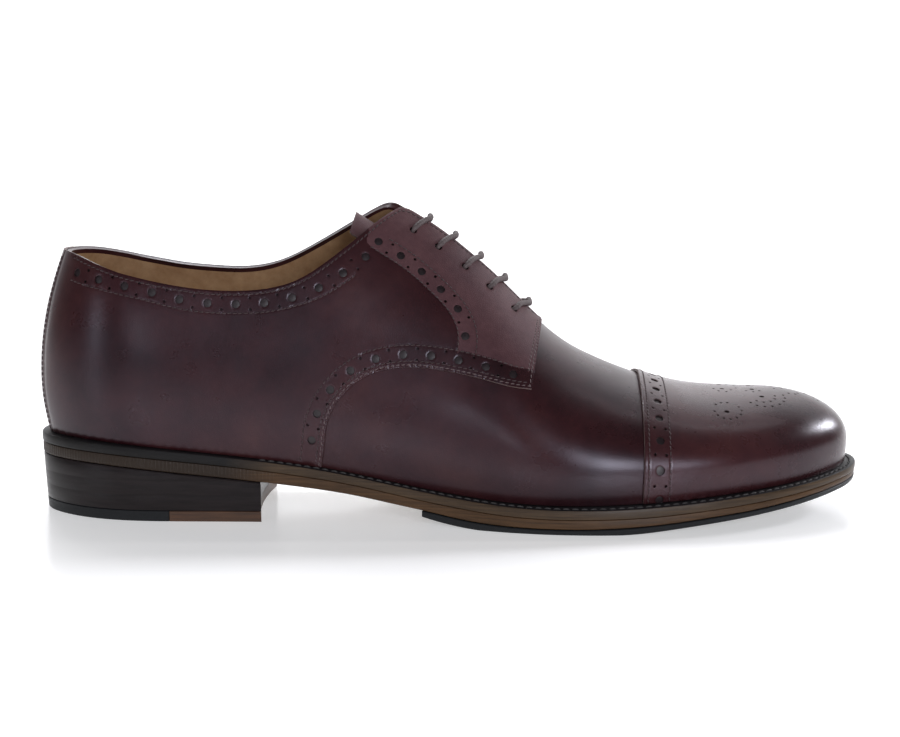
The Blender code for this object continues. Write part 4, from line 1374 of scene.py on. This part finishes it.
# groove of a joint: height over it, how deep it goes, drop under the outsole
JOINT_GROOVE = [(0.25, 0.0, 0.5), (0.0, 0.05, 0.6), (-0.25, 0.0, 0.7)]
LIFT_HOLLOW = 5.0


def heel_inset(height):
    return EDGE_SETBACK + HEEL_TAPER * (1 - height / HEEL_HIGH)


def make_heel():
    """Stacked lifts, then the top lift in rubber behind and leather in front."""
    floor = TOP_LIFT_THICK + LAYER_GAP
    top = moved(outsole_bottom, -LAYER_GAP)
    stack = [(heel_inset(HEEL_HIGH) + 0.3, top), (heel_inset(20.0), moved(top, -0.4))]
    for joint in LIFT_JOINTS:
        stack += [(heel_inset(joint) + deep, moved(top, -drop, level(joint + over)))
                  for over, deep, drop in JOINT_GROOVE]
    stack += [(heel_inset(floor), level(floor + 0.2)), (heel_inset(floor) + 0.15, level(floor))]
    slab("heel_lifts", "heel_stack", from_edge(stack), [HEEL_BLACK], count=90, across=7,
         end=HEEL_BREAST, rounded=(True, False), hollow=(0.0, -BREAST_HOLLOW))
    lift = [(heel_inset(TOP_LIFT_THICK) + 0.15, level(TOP_LIFT_THICK)),
            (heel_inset(TOP_LIFT_THICK), level(3.8)),
            (heel_inset(0.0), level(0.4)), (heel_inset(0.0) + 0.35, level(0.0))]
    slab("top_lift_tread", "top_lift_rubber", from_edge(lift), [RUBBER], count=90, across=7,
         end=LIFT_JOINT - GAP / 2, rounded=(True, False), hollow=(0.0, LIFT_HOLLOW))
    slab("top_lift_front", "top_lift_leather", from_edge(lift), [LIFT_LEATHER], count=60,
         across=7, start=LIFT_JOINT + GAP / 2, end=HEEL_BREAST, rounded=(False, False),
         hollow=(LIFT_HOLLOW, -BREAST_HOLLOW))


RIB_PITCH, RIB_PROUD, RIB_HALF, RIB_END = 1.35, 0.16, 0.42, 92.0
RIB_ROOT = 0.25
# places across half a rib, and share of its height at each ring from the top
RIB_TURNS = (-1.0, -0.6, 0.0, 0.6, 1.0)
RIB_SWELL = (0.25, 1.0, 1.0, 0.25)
RIB_FROM_TOP, RIB_FROM_BOTTOM, RIB_FADE = 0.35, 0.45, 0.45


def rib(spot, way, out):
    """Rings of one upright rib, from its top down."""
    top = float(outsole_top(spot[0])) - RIB_FROM_TOP
    bottom = float(outsole_bottom(spot[0])) + RIB_FROM_BOTTOM
    rings = []
    for height, swell in zip((top, top - RIB_FADE, bottom + RIB_FADE, bottom), RIB_SWELL):
        ring = [spot + way * RIB_HALF * turn + out * (RIB_PROUD * swell * (1 - turn ** 2) - 0.02)
                for turn in RIB_TURNS]
        rings.append([(x, y, height) for x, y in [*ring, spot - out * RIB_ROOT]])
    return rings


def make_seat_wheeling():
    """Fine upright ribs that a wheel pressed into the seat's edge."""
    line = inset(SOLE_EDGE, EDGE_SETBACK + 0.05)
    line = np.roll(line, len(line) // 2 - int(line[:, 0].argmin()), 0)
    line = line[line[:, 0] < RIB_END]
    reach = arc_length(line)
    along = unit(np.gradient(line, axis=0))
    outward = np.stack([along[:, 1], -along[:, 0]], -1)
    if ((line - line.mean(0)) * outward).sum() < 0:
        outward = -outward
    points, faces = [], []
    for at in np.arange(RIB_PITCH, reach[-1] - RIB_PITCH, RIB_PITCH):
        spot, way, out = (sampled(at, reach, table) for table in (line, along, outward))
        add_tube(points, faces, rib(spot, way, out))
    mesh_object("seat_wheeling", points, faces, [SOLE_EDGE_LEATHER], sharp=60.0)


# Lace: straight bars on top, flattened runs under the facings

LACE_UNDER = -UPPER_WALL - 0.45
LACE_TWIST, LACE_STRANDS, LACE_PLAIT = 2.2, 4, 0.16
LACE_STEP, LACE_AROUND = 0.32, 16
# radii of the lace outwards and across: under a facing, in a hole, on top
LACE_FLAT, LACE_IN_HOLE = (0.5, 1.2), (0.85, 0.85)
LACE_ROUND = (LACE_RADIUS * 1.08, LACE_RADIUS * 1.08)
# way through an eyelet from below: station and radius from the eyelet's, lift
LACE_THROUGH = [
    (-1.6, 0.8, LACE_UNDER, LACE_FLAT), (-0.5, 0.2, -1.3, LACE_IN_HOLE),
    (0.0, 0.0, OVERLAY_HIGH - 0.2, LACE_IN_HOLE), (0.5, -0.7, OVERLAY_HIGH + 0.75, LACE_ROUND),
]
LACE_CORE = ([120.0, 200.0], [60.0, 15.0])


def lace_surface(side, station, radius, lift):
    arc = float(arc_of(side, station))
    return offset_point(side, arc, float(rise_of_radius(side, arc, radius)), lift)


def bar_points(crossing, eyelet_radius, eyelet_station, from_side):
    """Points of one bar from hole to hole, with its section's two radii."""
    rows = []
    for side, order in ((from_side, 1), (-from_side, -1)):
        part = [(lace_surface(side, eyelet_station + ahead, eyelet_radius + out, lift), radii)
                for ahead, out, lift, radii in LACE_THROUGH]
        for radius in np.linspace(eyelet_radius - 2.2, LACE_SPRING, 4):
            share = (radius - LACE_SPRING) / (eyelet_radius - LACE_SPRING)
            station = crossing + (eyelet_station - crossing) * share
            part.append((lace_surface(side, station, radius, LACE_LIFT - 0.1), LACE_ROUND))
        rows.append(part[::order])
    left, right = rows[0][-1][0], rows[1][0][0]
    middle = []
    for share in (0.3, 0.5, 0.7):
        spot = left + (right - left) * share
        spot[2] += LACE_ARCH * (1 - (2 * share - 1) ** 2) + 0.25
        middle.append((spot, LACE_ROUND))
    return rows[0] + middle + rows[1]


def under_run(side, start, end):
    """Flat run under a facing from one eyelet to another."""
    ahead, out, lift, radii = LACE_THROUGH[0]
    points = []
    for share in np.linspace(0.15, 0.85, 6):
        station = start[2] + (end[2] - start[2]) * share + ahead
        radius = start[1] + (end[1] - start[1]) * share + out + 1.2 * math.sin(math.pi * share)
        points.append((lace_surface(side, station, radius, lift), radii))
    return points


def make_lace():
    """Two halves of one lace, woven up from the lowest bar."""
    bars = LACE_BARS
    first = under_run(LATERAL, bars[4], bars[3])
    first = first + bar_points(*bars[3], LATERAL) + under_run(MEDIAL, bars[3], bars[1])
    first = first + bar_points(*bars[1], MEDIAL) + under_run(LATERAL, bars[1], bars[0])
    second = bar_points(*bars[4], LATERAL) + under_run(MEDIAL, bars[4], bars[2])
    second = second + bar_points(*bars[2], MEDIAL) + under_run(LATERAL, bars[2], bars[0])
    second = second + bar_points(*bars[0], LATERAL)
    points, faces = [], []
    for path in (first, second):
        add_tube(points, faces, lace_rings(path))
    piece = mesh_object("lace", points, faces, [LACE], sharp=180.0)
    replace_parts(piece, *(f"lace_bar_{k}" for k in range(1, 6)))


def lace_rings(path):
    """Rings of a plaited tube along a path, flattened by its two radii."""
    spots, radii = (np.array(column) for column in zip(*path))
    reach = path_length(spots)
    at = np.arange(0.0, reach[-1], LACE_STEP)
    line, sizes = splined(at, reach, spots), sampled(at, reach, radii)
    ahead = unit(np.gradient(line, axis=0))
    station = np.clip(line[:, 0], HEEL_POLE, TOE_POLE)
    core = np.stack([station, ridge_side(station), np.interp(station, *LACE_CORE)], -1)
    out = line - core
    out = unit(out - (out * ahead).sum(1)[:, None] * ahead)
    left = np.cross(out, ahead)
    strands = LACE_STRANDS * np.linspace(0, 2 * math.pi, LACE_AROUND, endpoint=False)[:, None]
    rings = []
    for k, turn in enumerate(2 * math.pi * at / LACE_TWIST):
        plait = (1.0 + LACE_PLAIT * np.sin(strands + turn) * np.cos(strands - turn)
                 - LACE_PLAIT / 2)
        around = turned(sizes[k, 1] * left[k], sizes[k, 0] * out[k], LACE_AROUND)
        rings.append(line[k] + plait * around)
    return rings


# Materials

class Nodes:
    """Short way to write a material's node tree."""

    def __init__(self, name):
        self.material = bpy.data.materials.new(name)
        self.material.use_nodes = True
        self.tree = self.material.node_tree
        self.shader = self.tree.nodes["Principled BSDF"]
        self.place = self.tree.nodes.new("ShaderNodeTexCoord").outputs["Object"]

    def feed(self, socket, value):
        if isinstance(value, bpy.types.NodeSocket):
            self.tree.links.new(value, socket)
        else:
            socket.default_value = value

    def node(self, kind, inputs, **settings):
        node = self.tree.nodes.new(kind)
        for name, value in settings.items():
            setattr(node, name, value)
        for name, value in inputs.items():
            self.feed(node.inputs[name], value)
        return node

    def noise(self, scale, detail=3.0, rough=0.5, vector=None):
        return self.node("ShaderNodeTexNoise", {
            "Vector": vector or self.place, "Scale": scale, "Detail": detail,
            "Roughness": rough}).outputs["Fac"]

    def ramp(self, value, stops):
        node = self.node("ShaderNodeValToRGB", {"Fac": value})
        band = node.color_ramp
        while len(band.elements) < len(stops):
            band.elements.new(0.5)
        for element, (at, colour) in zip(band.elements, stops):
            element.position = at
            element.color = (*colour, 1.0)
        return node.outputs["Color"]

    def mix(self, share, first, second, blend="MIX"):
        """Mix of a colour that is linked with one that is linked or written out."""
        if isinstance(second, tuple):
            second = (*second, 1.0)
        return self.node("ShaderNodeMix", {"Factor": share, 6: first, 7: second},
                         data_type="RGBA", blend_type=blend).outputs[2]

    def span(self, value, low, high, to_low=0.0, to_high=1.0):
        return self.node("ShaderNodeMapRange", {
            "Value": value, "From Min": low, "From Max": high, "To Min": to_low,
            "To Max": to_high}).outputs["Result"]

    def axis(self, name):
        return self.node("ShaderNodeSeparateXYZ", {"Vector": self.place}).outputs[name]

    def math(self, kind, first, second):
        return self.node("ShaderNodeMath", {0: first, 1: second}, operation=kind).outputs[0]

    def finish(self, colour, roughness, bumps, **constants):
        """Wire the shader; bumps are (height, depth in mm) pairs."""
        self.feed(self.shader.inputs["Base Color"], colour)
        self.feed(self.shader.inputs["Roughness"], roughness)
        under = {}
        for height, depth in bumps:
            inputs = {"Height": height, "Distance": depth * MM, "Strength": 1.0, **under}
            under = {"Normal": self.node("ShaderNodeBump", inputs).outputs["Normal"]}
        for name, value in {**under, **constants}.items():
            self.feed(self.shader.inputs[name.replace("_", " ")], value)
        return self.material


# places in metres where the colour darkens: the dye along to the toe's tip and
# back to the heel seat, and darker towards the bottom, down to the welt
TIP_FROM, TIP_TO = 0.205, 0.262
LOW_FROM, LOW_TO, LOW_DARK = 0.034, 0.012, 0.35
SEAT_FROM, SEAT_TO = 0.050, 0.030
MOTTLE = [(0.35, (0.78, 0.76, 0.77)), (0.65, (1.0, 1.0, 1.0))]
COOL_SHINE = (0.90, 0.87, 1.0, 1.0)


def leather(name, dark, middle, light, rough=(0.30, 0.42), pores=0.010, coat=0.25,
            shine=0.4, tip=0.0):
    """Burnished calf: cloudy dye, fine pores, a thin wax coat."""
    make = Nodes(name)
    cloud = make.noise(22.0, 5.0, 0.62)
    colour = make.ramp(cloud, [(0.32, dark), (0.52, middle), (0.74, light)])
    mottle = make.ramp(make.noise(420.0, 4.0, 0.7), MOTTLE)
    colour = make.mix(0.7, colour, mottle, "MULTIPLY")
    if tip:
        near_tip = make.span(make.axis("X"), TIP_FROM, TIP_TO)
        colour = make.mix(make.math("MULTIPLY", near_tip, tip), colour, dark)
    # darker towards the bottom, down to the welt
    low = make.span(make.axis("Z"), LOW_FROM, LOW_TO)
    colour = make.mix(make.math("MULTIPLY", low, LOW_DARK), colour, dark)
    roughness = make.span(make.noise(60.0, 4.0, 0.6), 0.3, 0.7, *rough)
    grain = make.node("ShaderNodeTexVoronoi", {"Vector": make.place, "Scale": 1500.0},
                      feature="DISTANCE_TO_EDGE").outputs["Distance"]
    bumps = [(make.span(grain, 0.0, 0.25), pores), (make.noise(2600.0, 2.0), pores * 0.7)]
    return make.finish(colour, roughness, bumps, Coat_Weight=coat, Coat_Roughness=0.18,
                       Specular_IOR_Level=shine, Specular_Tint=COOL_SHINE)


def plain_leather(name, dark, light, rough, scale=120.0, stretch=(1.0, 1.0, 1.0), bump=0.03,
                  shine=0.5, blot=(55.0, 3.0, 0.5), blot_dark=0.4, seat=None):
    """Undyed or edge-dressed leather with drawn-out fibres, darker at the seat."""
    make = Nodes(name)
    vector = make.node("ShaderNodeMapping", {"Vector": make.place, "Scale": stretch}).outputs[0]
    fibre = make.noise(scale, 6.0, 0.65, vector)
    colour = make.ramp(fibre, [(0.3, dark), (0.7, light)])
    colour = make.mix(make.span(make.noise(*blot), 0.45, 0.75, 0.0, blot_dark), colour, dark)
    if seat:
        colour = make.mix(make.span(make.axis("X"), SEAT_FROM, SEAT_TO), colour, seat)
    return make.finish(colour, make.span(fibre, 0.3, 0.7, *rough),
                       [(fibre, bump), (make.noise(1800.0, 2.0), bump * 0.5)],
                       Specular_IOR_Level=shine)


def edge_leather(name, dark, light, seat):
    """Waxed cut edge, dyed darker round the heel seat."""
    return plain_leather(name, dark, light, (0.36, 0.50), 240.0, (0.2, 0.2, 5.0), shine=0.25,
                         blot=(45.0, 4.0, 0.6), blot_dark=0.6, seat=seat)


def rubber(name, colour, rough=(0.5, 0.65)):
    make = Nodes(name)
    grain = make.noise(900.0, 4.0, 0.6)
    shade = make.ramp(grain, [(0.3, tuple(c * 0.7 for c in colour)), (0.7, colour)])
    return make.finish(shade, make.span(make.noise(40.0), 0.3, 0.7, *rough), [(grain, 0.03)],
                       Specular_IOR_Level=0.25)


def thread(name, dark, light):
    """Twisted waxed thread."""
    make = Nodes(name)
    twist = make.node("ShaderNodeTexWave", {"Vector": make.place, "Scale": 900.0,
                                            "Distortion": 2.0, "Detail": 1.0}).outputs["Fac"]
    patchy = make.noise(160.0, 3.0, 0.6)
    both = make.math("MULTIPLY", make.math("ADD", twist, patchy), 0.5)
    colour = make.ramp(both, [(0.25, dark), (0.75, light)])
    return make.finish(colour, make.span(patchy, 0.3, 0.7, 0.55, 0.7), [(twist, 0.03)])


CALF = leather("burgundy_calf_fine", (0.014, 0.0030, 0.0044), (0.034, 0.0080, 0.0096),
               (0.060, 0.0180, 0.0170), rough=(0.26, 0.34), coat=0.06, shine=0.40)
CAP_CALF = leather("burgundy_calf_cap", (0.021, 0.0054, 0.0072), (0.050, 0.0138, 0.0150),
                   (0.082, 0.0265, 0.0245), rough=(0.24, 0.31), coat=0.08, shine=0.42, tip=0.2)
FACING = leather("facing_calf_matte", (0.062, 0.0250, 0.0290), (0.100, 0.0440, 0.0475),
                 (0.138, 0.0680, 0.0695), rough=(0.46, 0.58), pores=0.035, coat=0.0, shine=0.25)
PUNCHED = plain_leather("punched_edge", (0.008, 0.004, 0.004), (0.030, 0.014, 0.012),
                        (0.6, 0.75))
CUT_EDGE = plain_leather("cut_edge", (0.085, 0.052, 0.048), (0.20, 0.145, 0.135),
                         (0.55, 0.7), 500.0)
UNDERLAY = plain_leather("underlay", (0.009, 0.005, 0.006), (0.026, 0.015, 0.018),
                         (0.34, 0.46), 700.0)
LINING = plain_leather("tan_lining_fine", (0.27, 0.150, 0.07), (0.40, 0.25, 0.13), (0.5, 0.65),
                       240.0, bump=0.02)
WELT_TOP = plain_leather("welt_top", (0.005, 0.005, 0.006), (0.014, 0.012, 0.013), (0.45, 0.6))
WELT_EDGE = edge_leather("welt_edge", (0.034, 0.021, 0.012), (0.088, 0.054, 0.029),
                         (0.006, 0.005, 0.005))
SOLE_EDGE_LEATHER = edge_leather("sole_edge", (0.038, 0.019, 0.008), (0.110, 0.056, 0.024),
                                 (0.024, 0.014, 0.008))
LIFT_LEATHER = plain_leather("lift_leather", (0.036, 0.015, 0.007), (0.092, 0.039, 0.017),
                             (0.4, 0.55), 260.0, (0.3, 0.3, 4.5))
HEEL_BLACK = plain_leather("heel_black", (0.007, 0.0045, 0.005), (0.017, 0.0115, 0.012),
                           (0.30, 0.42), 260.0, (0.3, 0.3, 4.0), 0.02, 0.22)
RUBBER = rubber("tread_rubber", (0.012, 0.013, 0.015))
LACE = thread("lace_waxed", (0.045, 0.030, 0.030), (0.15, 0.115, 0.115))
THREAD_LIGHT = thread("thread_light", (0.070, 0.045, 0.046), (0.19, 0.135, 0.135))
THREAD_DARK = thread("thread_dark", (0.022, 0.011, 0.012), (0.085, 0.052, 0.054))
WELT_THREAD = thread("welt_thread", (0.022, 0.020, 0.020), (0.10, 0.095, 0.092))


# Floor, light and camera, in metres

SWEEP_START, SWEEP_RADIUS, SWEEP_HEIGHT = 1.0, 0.9, 3.2
SWEEP_FRONT, SWEEP_SIDE, SWEEP_PARTS = -4.0, 5.0, 16
# the floor shines a little by itself, from none in front to all behind
GLOW, GLOW_NONE, GLOW_ALL = 0.42, -0.62, -0.30
BLACK, WHITE = (0.0, 0.0, 0.0), (1.0, 1.0, 1.0)


def sweep_profile():
    """Side view of the paper sweep: floor, curve, wall."""
    points = [(SWEEP_FRONT, 0.0), (SWEEP_START, 0.0)]
    for k in range(1, SWEEP_PARTS + 1):
        turn = math.pi / 2 * k / SWEEP_PARTS
        points.append((SWEEP_START + SWEEP_RADIUS * math.sin(turn),
                       SWEEP_RADIUS * (1 - math.cos(turn))))
    points.append((SWEEP_START + SWEEP_RADIUS, SWEEP_HEIGHT))
    return points


def make_floor():
    make = Nodes("floor_white")
    shade = make.ramp(make.noise(3.0, 2.0), [(0.3, (0.90, 0.90, 0.91)), (0.7, (0.94, 0.94, 0.95))])
    lit = make.ramp(make.span(make.axis("Y"), GLOW_NONE, GLOW_ALL), [(0.0, BLACK), (1.0, WHITE)])
    material = make.finish(shade, make.span(make.noise(5.0), 0.3, 0.7, 0.16, 0.20), [],
                           Specular_IOR_Level=0.3, Emission_Strength=GLOW, Emission_Color=lit)
    profile = sweep_profile()
    points = [(x, y, z) for x in (-SWEEP_SIDE, SWEEP_SIDE) for y, z in profile]
    count = len(profile)
    faces = [(k, k + count, k + count + 1, k + 1) for k in range(count - 1)]
    mesh = bpy.data.meshes.new("floor")
    mesh.from_pydata(points, [], faces)
    mesh.materials.append(material)
    mesh.polygons.foreach_set("use_smooth", [True] * len(faces))
    in_scene("floor", mesh)


# name, position, target, width, height, power, colour
LIGHTS = [
    ("front_right", (0.62, -1.70, 0.52), (0.16, 0.0, 0.04), 0.52, 0.60, 14.0, (0.90, 0.92, 1.0)),
    ("front_small", (-0.58, -1.70, 0.38), (0.10, 0.0, 0.05), 0.16, 0.26, 1.3, (0.88, 0.91, 1.0)),
    ("left_soft", (-1.19, -0.94, 0.26), (-0.02, 0.0, 0.06), 0.20, 0.40, 1.1, (0.88, 0.91, 1.0)),
    ("floor_above", (-0.10, 0.90, 1.30), (0.12, 0.0, 0.0), 0.60, 0.40, 13.0, (0.98, 0.98, 1.0)),
    ("toe_right", (1.20, 0.50, 0.56), (0.25, 0.0, 0.03), 0.24, 0.20, 6.5, (0.94, 0.95, 1.0)),
    ("back_wall", (0.15, 0.60, 1.60), (0.15, 1.8, 0.9), 2.0, 0.6, 17.0, (1.0, 1.0, 1.0)),
]
WORLD_LIGHT = 0.10


def make_lights():
    for name, position, target, width, height, power, colour in LIGHTS:
        lamp = bpy.data.lights.new(name, "AREA")
        lamp.shape = "RECTANGLE"
        lamp.size, lamp.size_y = width, height
        lamp.energy, lamp.color = power, colour
        holder = in_scene(name, lamp)
        holder.location = position
        aim = Vector(target) - Vector(position)
        holder.rotation_euler = aim.to_track_quat("-Z", "Y").to_euler()
    world = bpy.data.worlds.new("studio")
    world.use_nodes = True
    background = world.node_tree.nodes["Background"]
    background.inputs["Color"].default_value = (*WHITE, 1.0)
    background.inputs["Strength"].default_value = WORLD_LIGHT
    bpy.context.scene.world = world
    bpy.context.scene.view_settings.view_transform = "Standard"


CAMERA_PLACE = (0.1122, -0.682, 0.160)
CAMERA_PITCH = 9.0
CAMERA_LENS, CAMERA_SENSOR = 72.62, 36.0
CAMERA_NEAR = 0.01


def make_camera():
    lens = bpy.data.cameras.new("camera")
    lens.lens, lens.sensor_width, lens.sensor_fit = CAMERA_LENS, CAMERA_SENSOR, "HORIZONTAL"
    lens.clip_start = CAMERA_NEAR
    camera = in_scene("camera", lens)
    camera.location = CAMERA_PLACE
    camera.rotation_euler = (math.radians(90.0 - CAMERA_PITCH), 0.0, 0.0)
    bpy.context.scene.camera = camera


def main():
    make_camera()
    make_lights()
    make_floor()
    make_outsole()
    make_rubber()
    make_heel()
    make_seat_wheeling()
    make_welt()
    make_insole()
    make_upper()
    make_tongue()
    make_toe_cap()
    make_quarter("quarter_lateral_leather", "quarter_lateral", LATERAL)
    make_quarter("quarter_medial_leather", "quarter_medial", MEDIAL)
    make_back_strap()
    make_lace()
    make_underlays()
    make_stitches("stitching_light", STITCHES["light"], THREAD_LIGHT, size=0.85)
    make_stitches("stitching_dark", STITCHES["dark"], THREAD_DARK, size=0.95)
    make_stitches("welt_stitching", welt_stitches(), WELT_THREAD, size=1.55, slant=0.05)


main()


def corners(pair):
    return [[float(value) for value in corner] for corner in pair]
